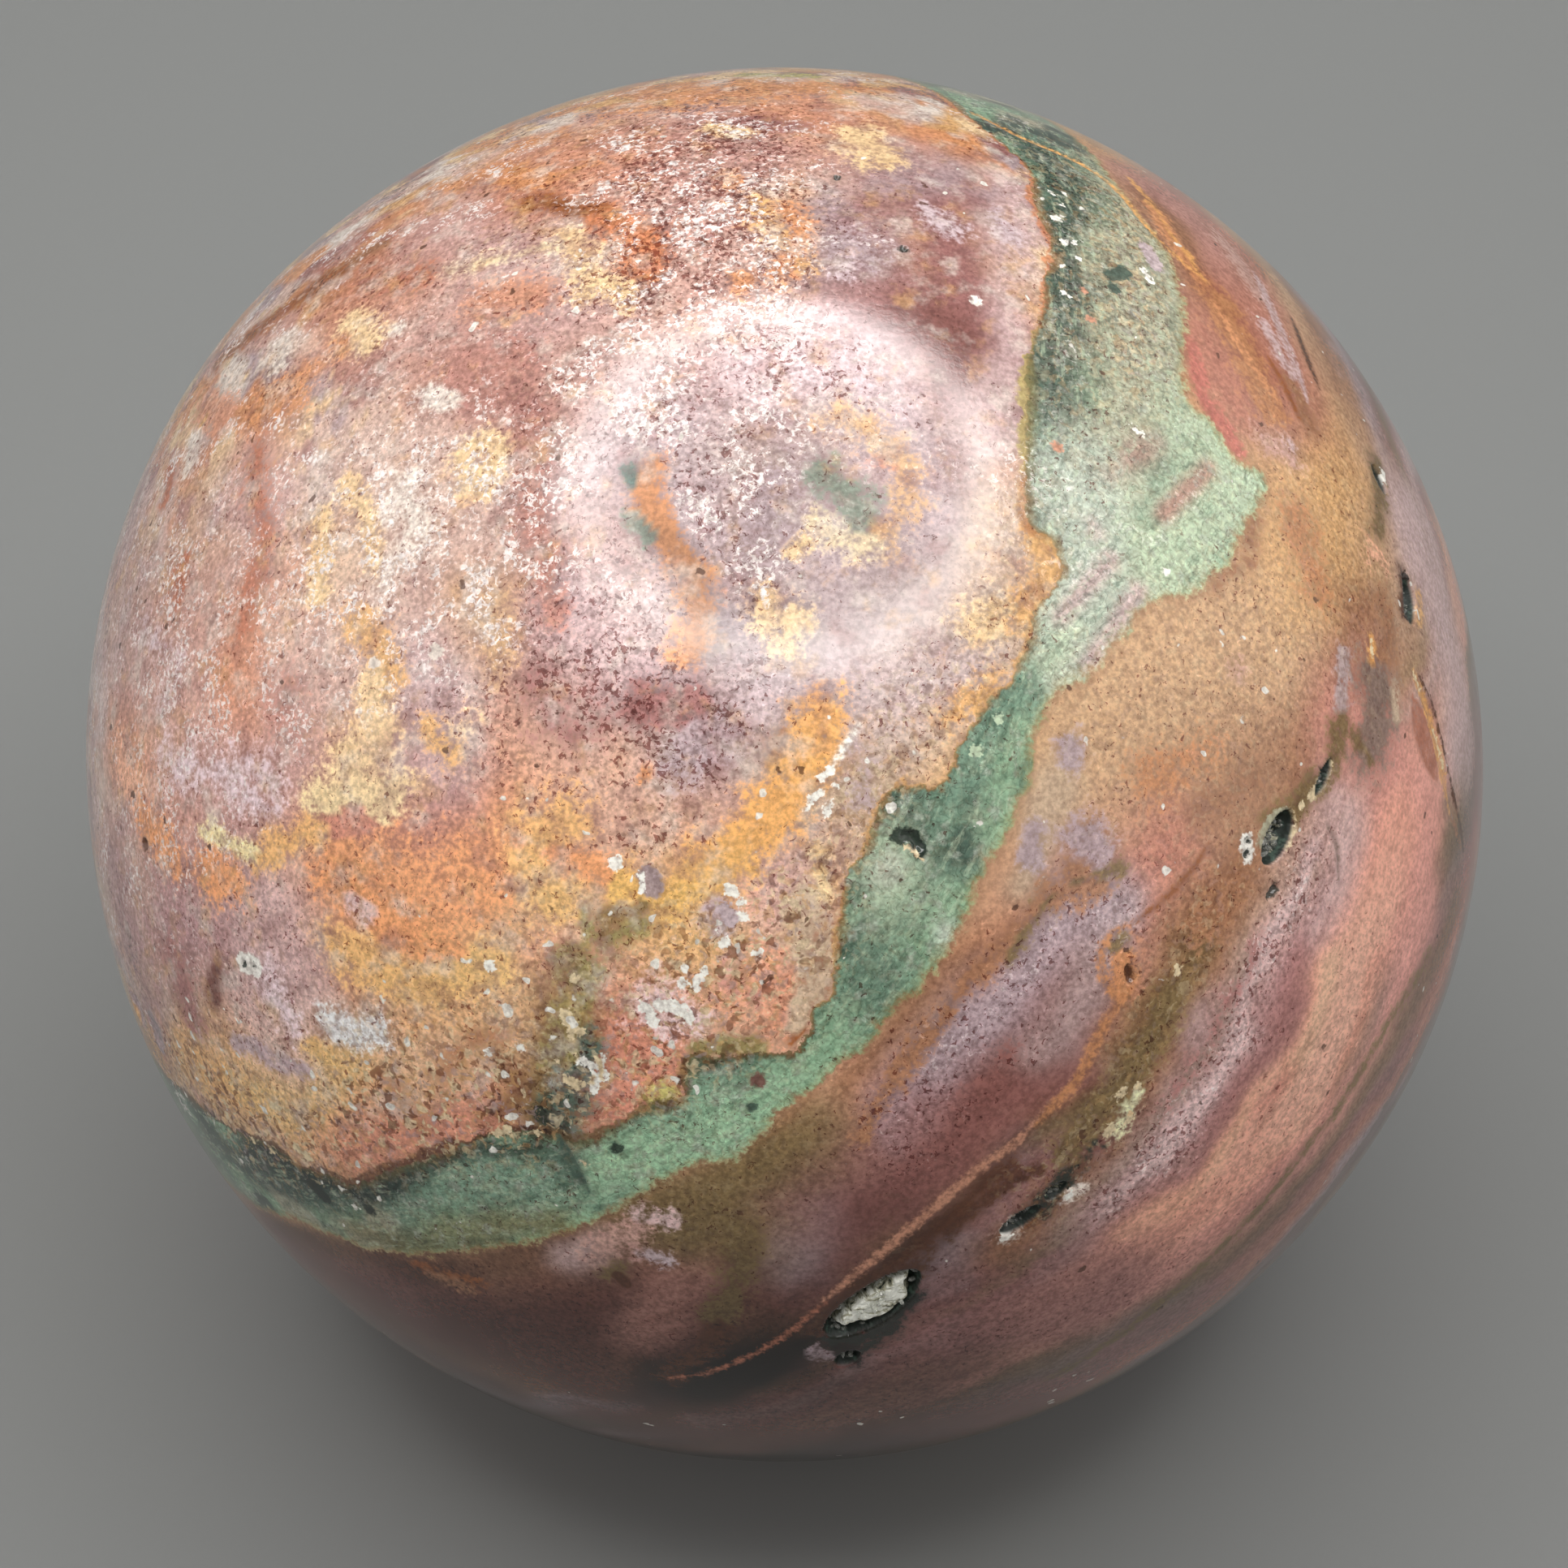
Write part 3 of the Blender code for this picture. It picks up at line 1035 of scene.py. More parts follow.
    *strokes(Pigment.DARK_MAROON, (2.6, 0.9, 380, 1570, 480, 1640, 600, 1700)),
    # Black-brown along the lower outline: dark stone with painted shade.
    *strokes(Pigment.BLACK_BROWN, (2.4, 0.9, 600, 1720, 720, 1765, 850, 1790, 980, 1798, 1120, 1788)),
    *strokes(Pigment.OLIVE_BROWN, (2, 0.8, 1120, 1785, 1250, 1752, 1360, 1705)),
    *strokes(Pigment.PINK_LILAC, (1.3, 0.85, 1225, 220, 1258, 300, 1246, 400, 1232, 480, 1226, 540)),
    *strokes(Pigment.MAROON_ROSE, (1.3, 0.6, 1060, 300, 1080, 250)),
    *strokes(Pigment.DARK_BROWN, (0.9, 0.7, 330, 1508, 430, 1540, 540, 1560, 640, 1548, 730, 1512)),
    *strokes(Pigment.PINK_LILAC, (2.6, 0.6, 330, 1130, 350, 1210, 340, 1270)),
    *strokes(Pigment.DARK_BROWN, (1, 0.5, 1390, 1370, 1330, 1440, 1260, 1500)),
    *strokes(Pigment.OLIVE_BROWN, (1.2, 0.85, 1465, 1170, 1437, 1230, 1395, 1290, 1350, 1345, 1305, 1400)),
    *strokes(Pigment.MAROON_ROSE, (1, 0.7, 1340, 1400, 1290, 1440, 1200, 1510),
             (2.2, 0.6, 1130, 1390, 1060, 1440, 1010, 1500)),
    *strokes(Pigment.OLIVE_BROWN, (1.3, 0.65, 1790, 1120, 1740, 1240, 1665, 1370, 1580, 1480, 1480, 1565)),
    *strokes(Pigment.MAROON, (1.3, 0.75, 1300, 1320, 1230, 1380, 1150, 1445, 1080, 1510)),
    *strokes(Pigment.MAROON_ROSE, (1.3, 0.5, 638, 430, 652, 520, 665, 640, 672, 760, 682, 860)),
    *strokes(Pigment.PURPLE, (2.4, 0.4, 165, 640, 165, 740, 155, 850)),
    *strokes(Pigment.SAND, (1.2, 0.75, 1300, 980, 1280, 1030, 1262, 1075)),
    *strokes(Pigment.LILAC_WHITE, (2.6, 0.85, 930, 450, 1015, 440, 1080, 480),
             (2.4, 0.65, 1100, 520, 1125, 600, 1030, 680),
             (2.4, 0.7, 940, 840, 1020, 845, 1100, 840, 1185, 835),
             (1.8, 0.6, 790, 850, 720, 790, 700, 740)),
    *strokes(Pigment.PINK_LILAC, (2.6, 0.55, 540, 285, 620, 330, 700, 365),
             (2.4, 0.5, 700, 930, 720, 1000, 790, 1005)),
    *strokes(Pigment.LILAC_GREY, (1.6, 0.6, 1090, 185, 1115, 215, 1170, 205)),
    *strokes(Pigment.LILAC_WHITE, (2.4, 0.5, 300, 590, 330, 640)),
    *strokes(Pigment.PINK_LILAC, (2, 0.5, 940, 1070, 960, 1110)),
    *strokes(Pigment.LILAC_WHITE, (2.4, 0.6, 530, 840, 548, 930)),
    *strokes(Pigment.LILAC_GREY, (2, 0.5, 1085, 190, 1120, 215)),
    *strokes(Pigment.SHELL_PINK, (1.8, 0.5, 1262, 665, 1255, 705)),
    *strokes(Pigment.PEACH, (2.4, 0.7, 690, 1145, 735, 1180)),
)

PATCHES = (
    *strokes(Pigment.ORANGE, (2.2, 1, 770, 128, 880, 115, 1000, 108), (0.9, 1, 644, 178, 690, 170),
             (1.2, 1, 600, 215, 670, 222), (0.8, 1, 542, 232, 580, 228), (0.7, 1, 902, 225),
             (0.8, 1, 918, 348), (0.9, 1, 425, 425), (1.5, 1, 330, 500, 365, 485),
             (0.6, 1, 1276, 655, 1300, 668), (0.4, 1, 790, 958), (2.4, 1, 430, 1070, 480, 1080, 500, 1130),
             (1.8, 0.7, 560, 1060, 590, 1110, 620, 1090), (1.4, 0.9, 255, 1075, 290, 1085),
             (1.3, 0.9, 180, 1010, 215, 1060), (0.6, 1, 1421, 259, 1453, 305, 1480, 345),
             (1, 0.85, 975, 260, 985, 300, 960, 340), (1, 0.8, 690, 215, 730, 200),
             (1.1, 0.85, 760, 1085, 700, 1060, 640, 1040),
             (0.95, 1, 797, 588, 802, 640, 828, 682, 852, 712, 862, 756, 842, 798),
             (1.3, 0.8, 520, 1150, 565, 1178)),
    *strokes(Pigment.OLIVE_YELLOW, (0.8, 1, 920, 93, 1000, 93), (0.9, 1, 826, 1345, 812, 1360)),
    *strokes(Pigment.SALMON, (1, 1, 1000, 130, 1030, 145), (1.4, 1, 660, 365, 600, 370),
             (1.3, 1, 280, 520, 260, 500), (0.9, 0.6, 1080, 560, 1118, 600, 1112, 640),
             (1.8, 0.8, 900, 1240, 960, 1200, 960, 1260), (1.3, 0.8, 700, 200, 720, 225)),
    *strokes(Pigment.YELLOW, (0.8, 1, 877, 160, 915, 162), (1.2, 1, 1050, 165, 1090, 195),
             (1, 0.85, 700, 290, 725, 330, 720, 360), (1.1, 1, 435, 400, 455, 420),
             (0.75, 1, 400, 635, 396, 690, 392, 735), (0.75, 0.9, 432, 600, 455, 640, 462, 690),
             (1, 1, 470, 830, 458, 880, 470, 920), (0.9, 0.6, 560, 900, 580, 890),
             (1.5, 0.9, 470, 900, 430, 950, 480, 975, 400, 985),
             (0.7, 0.8, 255, 1025, 300, 1045, 370, 1030),
             (0.85, 1, 570, 570, 600, 545, 615, 560, 600, 595, 575, 590), (0.5, 1, 981, 677),
             (0.9, 0.85, 935, 745, 985, 770), (0.6, 1, 969, 795), (1.2, 0.9, 1204, 770, 1225, 750),
             (0.6, 0.9, 1010, 1055, 1020, 1095), (1, 0.9, 750, 345, 770, 365),
             (1, 0.8, 1040, 180, 1075, 160, 1060, 200), (1, 0.9, 940, 740, 965, 790, 975, 760),
             (0.6, 0.9, 976, 680, 990, 672)),
    *strokes(Pigment.MAROON_ROSE, (1, 1, 923, 150, 974, 155), (1.5, 0.6, 660, 850, 700, 900, 740, 880),
             (1.2, 1, 790, 870, 845, 868), (1.3, 0.9, 215, 1180, 240, 1260),
             (0.9, 0.6, 1545, 1170, 1500, 1270, 1430, 1370)),
    *strokes(Pigment.OCHRE, (1.2, 1, 746, 128, 820, 125), (1.2, 0.75, 930, 250, 960, 285, 985, 325),
             (0.5, 1, 253, 530, 262, 515), (1, 0.9, 440, 765, 462, 790, 480, 830),
             (1, 0.8, 530, 900, 560, 930), (1, 1, 1275, 670, 1290, 700, 1262, 760),
             (1, 0.8, 1225, 840, 1180, 880), (1.6, 0.9, 700, 1010, 650, 1050, 680, 1110),
             (1, 0.9, 317, 1050, 360, 1035, 395, 1025), (1.5, 0.9, 420, 1170, 520, 1210, 600, 1180),
             (0.8, 1, 381, 1285, 400, 1300), (1.2, 0.8, 250, 1320, 300, 1350),
             (0.5, 0.9, 1746, 730, 1748, 765)),
    *strokes(Pigment.RUST, (0.8, 1, 652, 250, 710, 256, 745, 262), (0.9, 1, 279, 450, 350, 390, 427, 333),
             (0.45, 0.8, 974, 1288, 990, 1270), (0.5, 0.8, 660, 250, 720, 262),
             (0.6, 0.8, 520, 1560, 560, 1575, 590, 1580),
             (0.62, 0.95, 812, 665, 832, 690, 856, 720, 862, 765)),
    *strokes(Pigment.VIVID_ORANGE, (1.1, 1, 745, 268, 790, 290, 795, 330)),
    *strokes(Pigment.PALE_YELLOW, (0.8, 0.7, 560, 330, 620, 318, 690, 300),
             (0.9, 0.8, 1000, 640, 1040, 665, 1085, 668)),
    *strokes(Pigment.BRICK, (1, 1, 490, 348, 520, 342), (0.8, 1, 215, 583, 212, 610),
             (1.2, 0.9, 228, 700, 222, 730), (1.1, 0.8, 319, 555, 324, 670, 301, 772),
             (1.2, 0.6, 830, 1330, 900, 1280)),
    *strokes(Pigment.LILAC_GREY, (1.5, 0.8, 1040, 300, 1075, 315), (1.6, 0.8, 960, 600, 940, 660),
             (1.5, 0.9, 840, 940, 880, 900), (1.2, 0.7, 1050, 930, 1060, 980),
             (0.8, 1, 1319, 920, 1321, 932), (0.7, 0.95, 1275, 1025, 1270, 1062),
             (0.8, 0.9, 880, 1110, 890, 1145)),
    *strokes(Pigment.LILAC_WHITE, (0.9, 0.8, 1150, 262, 1172, 280), (0.8, 0.8, 1232, 268, 1245, 290),
             (0.9, 0.8, 1060, 300, 1040, 330), (1.6, 0.7, 210, 940, 330, 960),
             (1.3, 0.7, 330, 1200, 360, 1270), (1, 0.6, 180, 780, 220, 820, 200, 870),
             (1, 0.7, 270, 960, 330, 1000), (0.6, 0.9, 800, 1548, 818, 1552)),
    *strokes(Pigment.BROWN, (0.7, 1, 427, 333, 470, 305), (0.7, 0.8, 965, 905, 950, 935),
             (0.9, 0.7, 480, 1330, 520, 1390), (0.8, 0.6, 1320, 1087, 1355, 1080),
             (1.1, 0.8, 1705, 740, 1712, 790, 1700, 820), (0.8, 0.8, 568, 1582, 540, 1570),
             (0.9, 0.8, 1548, 640, 1540, 665), (0.8, 0.7, 1500, 720, 1540, 690),
             (0.7, 0.8, 1340, 1085, 1250, 1150, 1180, 1230, 1110, 1320, 1060, 1400),
             (0.8, 0.7, 540, 1330, 580, 1290, 620, 1270), (0.9, 0.9, 1320, 1075, 1350, 1090, 1290, 1100),
             (1, 0.8, 1590, 470, 1612, 520), (1.3, 0.7, 1480, 1000, 1540, 960),
             (1.2, 0.8, 1530, 1060, 1500, 1110, 1480, 1150)),
    *strokes(Pigment.FROST, (0.9, 1, 352, 430, 346, 452), (0.6, 1, 490, 404), (0.8, 1, 530, 488, 555, 496),
             (0.9, 1, 246, 540, 240, 575), (0.8, 0.7, 480, 640, 520, 620, 470, 720), (0.5, 1, 580, 573),
             (1.4, 0.7, 500, 600, 520, 660), (0.6, 0.9, 1240, 1520, 1262, 1500),
             (0.5, 0.9, 1316, 1474, 1330, 1462)),
    *strokes(Pigment.DUSTY_RED, (1.6, 1, 580, 470, 630, 450),
             (0.9, 0.9, 649, 524, 660, 640, 670, 708, 687, 759), (1.4, 0.8, 350, 850, 350, 890),
             (1.2, 0.8, 900, 1210, 930, 1230)),
    *strokes(Pigment.TAN, (1.1, 0.8, 605, 746, 615, 823),
             (1.3, 0.75, 1035, 520, 1100, 550, 1120, 610, 1090, 660)),
    *strokes(Pigment.GREY_GREEN, (0.95, 0.95, 1018, 580, 1036, 604, 1066, 622, 1062, 645),
             (0.7, 1, 780, 640, 796, 664)),
    *strokes(Pigment.AMBER, (1.5, 1, 1012, 885, 990, 945, 955, 1000, 915, 1040, 877, 1078),
             (0.9, 1, 1000, 910, 970, 970, 920, 1020), (1.1, 0.9, 877, 1078, 820, 1105, 760, 1085),
             (0.42, 1, 1690, 790, 1692, 822), (0.3, 0.9, 1394, 222, 1430, 268, 1483, 344)),
    *strokes(Pigment.SALMON_BROWN, (1.3, 1, 421, 1019, 440, 1010)),
    *strokes(Pigment.PINK_LILAC, (1, 0.9, 430, 1105, 455, 1125), (0.45, 1, 1594, 550),
             (0.8, 0.8, 790, 1500, 820, 1500), (0.9, 0.8, 1560, 400, 1590, 460),
             (1.1, 0.85, 820, 1220, 800, 1250, 850, 1260)),
    *strokes(Pigment.PEACH, (1.3, 0.9, 148, 930, 170, 970), (1, 0.6, 1690, 680, 1705, 700),
             (0.9, 0.7, 700, 1150, 720, 1172)),
    *strokes(Pigment.OLIVE, (0.7, 0.8, 725, 1125, 740, 1160, 790, 1140), (0.7, 0.9, 690, 1180, 730, 1195),
             (0.6, 1, 860, 1292, 935, 1288), (0.6, 0.7, 1440, 1215, 1425, 1245),
             (1.2, 0.95, 712, 1180, 706, 1240, 700, 1300), (0.4, 0.9, 853, 735, 850, 768)),
    *strokes(Pigment.DARK_MAROON, (0.7, 0.9, 268, 1198, 262, 1230)),
    *strokes(Pigment.LAVENDER, (0.6, 1, 291, 1282, 335, 1302, 373, 1318), (1.25, 1, 1334, 1030, 1346, 1044),
             (0.7, 0.8, 1000, 1662, 1020, 1672)),
    *strokes(Pigment.QUARTZ_WHITE, (1, 1, 415, 1265, 439, 1272, 465, 1270), (0.5, 1, 395, 1250)),
    *strokes(Pigment.DARK_BROWN, (0.8, 0.7, 610, 1300, 640, 1340, 600, 1380),
             (1, 0.8, 1010, 1640, 1060, 1590, 1130, 1560), (0.7, 0.95, 1728, 712, 1732, 750),
             (0.8, 0.9, 1240, 1440, 1180, 1490, 1130, 1530, 1060, 1590),
             (0.9, 0.8, 893, 1625, 865, 1665, 820, 1700), (0.6, 0.95, 1275, 1440, 1215, 1480, 1165, 1520)),
    *strokes(Pigment.ROSE, (0.9, 0.7, 1525, 820), (0.9, 0.8, 760, 1520, 790, 1510, 730, 1545),
             (1.2, 0.8, 1510, 300, 1550, 360), (1, 0.7, 1560, 540, 1590, 560)),
    *strokes(Pigment.TAUPE, (1.9, 0.95, 1695, 838, 1700, 875, 1688, 920),
             (0.7, 0.8, 1795, 1180, 1740, 1300, 1670, 1420, 1540, 1570, 1400, 1680)),
    *strokes(Pigment.MAUVE, (0.6, 1, 1655, 812, 1652, 868)),
    *strokes(Pigment.CARAMEL, (0.8, 1, 1386, 1185, 1388, 1215),
             (1.4, 0.95, 1500, 370, 1530, 430, 1560, 500), (1.6, 0.7, 1420, 960, 1480, 930),
             (1.6, 0.8, 1600, 640, 1620, 720)),
    *strokes(Pigment.OLIVE_BROWN, (1.2, 0.95, 1440, 1230, 1405, 1310, 1355, 1370, 1320, 1420),
             (0.9, 0.9, 1696, 570, 1700, 620, 1694, 650),
             (0.9, 0.95, 1652, 895, 1640, 950, 1600, 990, 1572, 1015), (0.9, 0.95, 1672, 905, 1690, 935),
             (0.7, 0.8, 745, 1570, 765, 1560), (1, 0.95, 915, 1520, 908, 1570, 890, 1620),
             (0.7, 0.75, 1761, 1173, 1702, 1275, 1639, 1377, 1570, 1466, 1426, 1608, 1299, 1697),
             (1, 0.8, 745, 1160, 760, 1130, 790, 1115),
             (0.8, 0.8, 1374, 1066, 1322, 1090, 1278, 1130, 1243, 1172),
             (0.55, 0.95, 1383, 1160, 1376, 1172)),
    # The two bottle-black patches along the lower side of the large vug are dark green stone with painted shade
    # beneath its crystal lens.
    *strokes(Pigment.BOTTLE_BLACK, (0.7, 0.9, 1320, 1440, 1299, 1469, 1262, 1502),
             (0.9, 1, 1030, 1655, 1075, 1640, 1120, 1600), (0.8, 0.8, 1290, 1490, 1322, 1440, 1345, 1410),
             (0.8, 0.8, 1050, 1668, 1100, 1640), (0.7, 1, 668, 1376, 694, 1398)),
    *strokes(Pigment.BLACK_BROWN, (0.9, 1, 1045, 1675, 1040, 1660),
             (1, 0.9, 985, 1660, 940, 1690, 900, 1700)),
    *strokes(Pigment.RUBY, (0.65, 1, 1485, 490, 1505, 525, 1528, 560), (0.6, 0.9, 1462, 420, 1480, 470)),
    *strokes(Pigment.CREAM, (0.6, 0.8, 1378, 1392, 1398, 1345)),
    *strokes(Pigment.MAROON, (1, 0.6, 1240, 1300, 1190, 1380, 1130, 1430)),
    *strokes(Pigment.SAND, (0.5, 0.9, 1716, 850, 1722, 885), (1.7, 0.85, 985, 1120, 1000, 1190, 985, 1260)),
    *strokes(Pigment.DUSTY_ROSE, (1, 0.7, 738, 1540, 760, 1525, 775, 1545)),
    *strokes(Pigment.DEEP_TEAL, (1.2, 1, 722, 1285, 706, 1335, 686, 1392)),
    *strokes(Pigment.TEAL, (0.6, 0.9, 778, 576, 784, 600)),
)

RIBBON_WASHES = (
    *strokes(Pigment.DEEP_TEAL, (1.3, 1, 1290, 190, 1300, 300, 1312, 400),
             (1.2, 0.85, 1296, 430, 1298, 520, 1300, 600)),
    *strokes(Pigment.SAGE, (3, 1, 1400, 250, 1410, 340, 1410, 450), (2.2, 0.9, 1390, 490, 1370, 540)),
    *strokes(Pigment.PALE_MINT, (2.8, 1, 1320, 600, 1350, 660, 1310, 750)),
    *strokes(Pigment.MINT, (2.8, 1, 1490, 540, 1510, 610, 1450, 690), (1.1, 0.8, 1320, 760, 1290, 820)),
    *strokes(Pigment.JADE, (1.5, 1, 1260, 850, 1215, 910, 1180, 960)),
    *strokes(Pigment.LEAF, (0.9, 1, 1262, 900, 1238, 965, 1222, 1010)),
    *strokes(Pigment.DEEP_TEAL, (1.6, 1, 1100, 1000, 1110, 1050, 1080, 1090)),
    *strokes(Pigment.JADE, (2, 1, 1140, 1100, 1100, 1180, 1060, 1230)),
    *strokes(Pigment.LEAF, (0.8, 1, 1185, 1100, 1150, 1165), (1.7, 1, 1030, 1280, 980, 1330, 920, 1360),
             (1.8, 1, 880, 1390, 800, 1420, 740, 1450)),
    *strokes(Pigment.JADE, (1.8, 1, 660, 1450, 560, 1460, 500, 1480)),
    *strokes(Pigment.OLIVE, (1, 0.7, 700, 1500, 600, 1520, 500, 1530, 430, 1520)),
    *strokes(Pigment.DEEP_TEAL, (1.5, 1, 470, 1450, 380, 1465, 310, 1440, 260, 1400)),
    *strokes(Pigment.BOTTLE_BLACK, (0.8, 0.9, 420, 1460, 360, 1440, 300, 1410)),
    *strokes(Pigment.LILAC_WHITE, (0.8, 0.8, 1101, 1086)),
    *strokes(Pigment.PALE_MINT, (0.6, 1, 1168, 1157)),
    *strokes(Pigment.BOTTLE_BLACK, (0.55, 0.85, 660, 1398, 560, 1432, 480, 1460, 430, 1478)),
    *strokes(Pigment.DEEP_TEAL, (0.9, 0.6, 690, 1410, 716, 1450)),
    *strokes(Pigment.MINT, (1.6, 0.6, 1095, 1060, 1110, 1105)),
    *strokes(Pigment.FROST, (1.4, 0.4, 1330, 830, 1350, 850)),
)

RIBBON_STREAKS = (
    *strokes(Pigment.PINK_LILAC, (0.5, 0.85, 1368, 690, 1336, 726, 1308, 760),
             (0.55, 0.9, 1402, 730, 1370, 780, 1343, 820), (0.4, 0.6, 1345, 645, 1352, 660)),
    *strokes(Pigment.DUSTY_RED, (0.5, 0.45, 1395, 565, 1410, 560)),
    *strokes(Pigment.DUSTY_ROSE, (0.5, 0.35, 1365, 585, 1385, 575)),
    *strokes(Pigment.DUSTY_RED, (0.55, 0.85, 1434, 634, 1462, 604, 1490, 578)),
    *strokes(Pigment.DUSTY_ROSE, (0.7, 0.5, 1395, 555, 1425, 545)),
)

VEINS = (
    *inlays(Pigment.AMBER,
             (0.16, 1200, 140, 1258, 169, 1332, 202, 1375, 233, 1413, 279, 1449, 315, 1477, 338)),
    *inlays(Pigment.DEEP_TEAL, (0.3, 688, 1400, 704, 1432, 724, 1470), tapers=True),
    *inlays(Pigment.QUARTZ_WHITE, (0.14, 1058, 892, 1035, 928, 1022, 950), tapers=True),
    *inlays(Pigment.ORANGE, (0.36, 1388, 1228, 1368, 1250, 1350, 1285, 1325, 1333, 1263, 1397),
             (0.35, 1490, 365, 1530, 430, 1575, 495),
             (0.26, 1388, 1138, 1362, 1160, 1358, 1200, 1380, 1238), tapers=True),
    *inlays(Pigment.SALMON, (0.3, 1290, 1365, 1263, 1397, 1197, 1448, 1133, 1504, 1061, 1564, 1010, 1608),
             (0.22, 1388, 1138, 1408, 1165, 1412, 1200, 1390, 1236), tapers=True),
    *inlays(Pigment.BRICK, (0.16, 1030, 1592, 960, 1650, 890, 1685, 820, 1700),
             (0.95, 1741, 862, 1753, 905, 1770, 958), tapers=True),
    *inlays(Pigment.TAUPE, (0.12, 1635, 1015, 1648, 1045, 1650, 1090), tapers=True),
    *inlays(Pigment.AMBER, (0.6, 1741, 828, 1755, 862, 1768, 910, 1780, 962, 1786, 1000), tapers=True),
    *inlays(Pigment.BROWN, (0.22, 1782, 970, 1790, 1010, 1799, 1045), tapers=True),
    *inlays(Pigment.PINK_LILAC, (0.45, 1545, 335, 1572, 394, 1611, 494), tapers=True),
    *inlays(Pigment.DARK_BROWN, (0.3, 1590, 390, 1610, 440, 1625, 478), tapers=True),
    *inlays(Pigment.RUST, (0.28, 1562, 440, 1585, 480, 1600, 515),
             (0.18, 1390, 1142, 1430, 1112, 1468, 1072, 1490, 1040), tapers=True),
)

MARKS = (
    *inlays(Pigment.SALMON, (0.3, 1303, 551), (0.25, 1337, 358), (0.25, 1344, 394)),
    *inlays(Pigment.LILAC_WHITE, (0.5, 1412, 305, 1424, 328)),
    *inlays(Pigment.DEEP_TEAL, (0.45, 1368, 340, 1385, 335), (0.4, 1372, 355), (0.3, 925, 1364)),
    *inlays(Pigment.BOTTLE_BLACK, (0.4, 1108, 1030, 1124, 1030, 1134, 1050), (0.35, 760, 1415),
             (0.45, 385, 1460, 400, 1475), (0.4, 455, 1490), (0.25, 1114, 307), (0.25, 1031, 219)),
    *inlays(Pigment.MAROON, (0.4, 934, 1332)),
    *inlays(Pigment.LILAC_GREY, (0.6, 799, 1080, 804, 1092), (0.7, 188, 1258, 196, 1285)),
    *inlays(Pigment.QUARTZ_WHITE, (0.3, 1202, 371), (0.62, 301, 1186, 313, 1190),
             (0.42, 1536, 1036, 1538, 1054)),
    *inlays(Pigment.CREAM, (0.3, 1628, 962, 1616, 982), (0.16, 1590, 1003, 1594, 1024, 1586, 1046)),
    *inlays(Pigment.SAGE, (0.26, 1584, 1000, 1564, 1012, 1553, 1040)),
    *inlays(Pigment.BOTTLE_BLACK, (0.25, 1576, 1088, 1562, 1108), tapers=True),
    *inlays(Pigment.BLACK_BROWN, (0.5, 1733, 715, 1734, 755)),
    *inlays(Pigment.DARK_BROWN, (0.4, 179, 1040), (0.35, 762, 1572, 772, 1582),
             (0.12, 1748, 832, 1764, 866, 1776, 910, 1787, 962, 1802, 1048)),
    *inlays(Pigment.DARK_BROWN, (0.22, 1390, 1190, 1394, 1212), tapers=True),
)

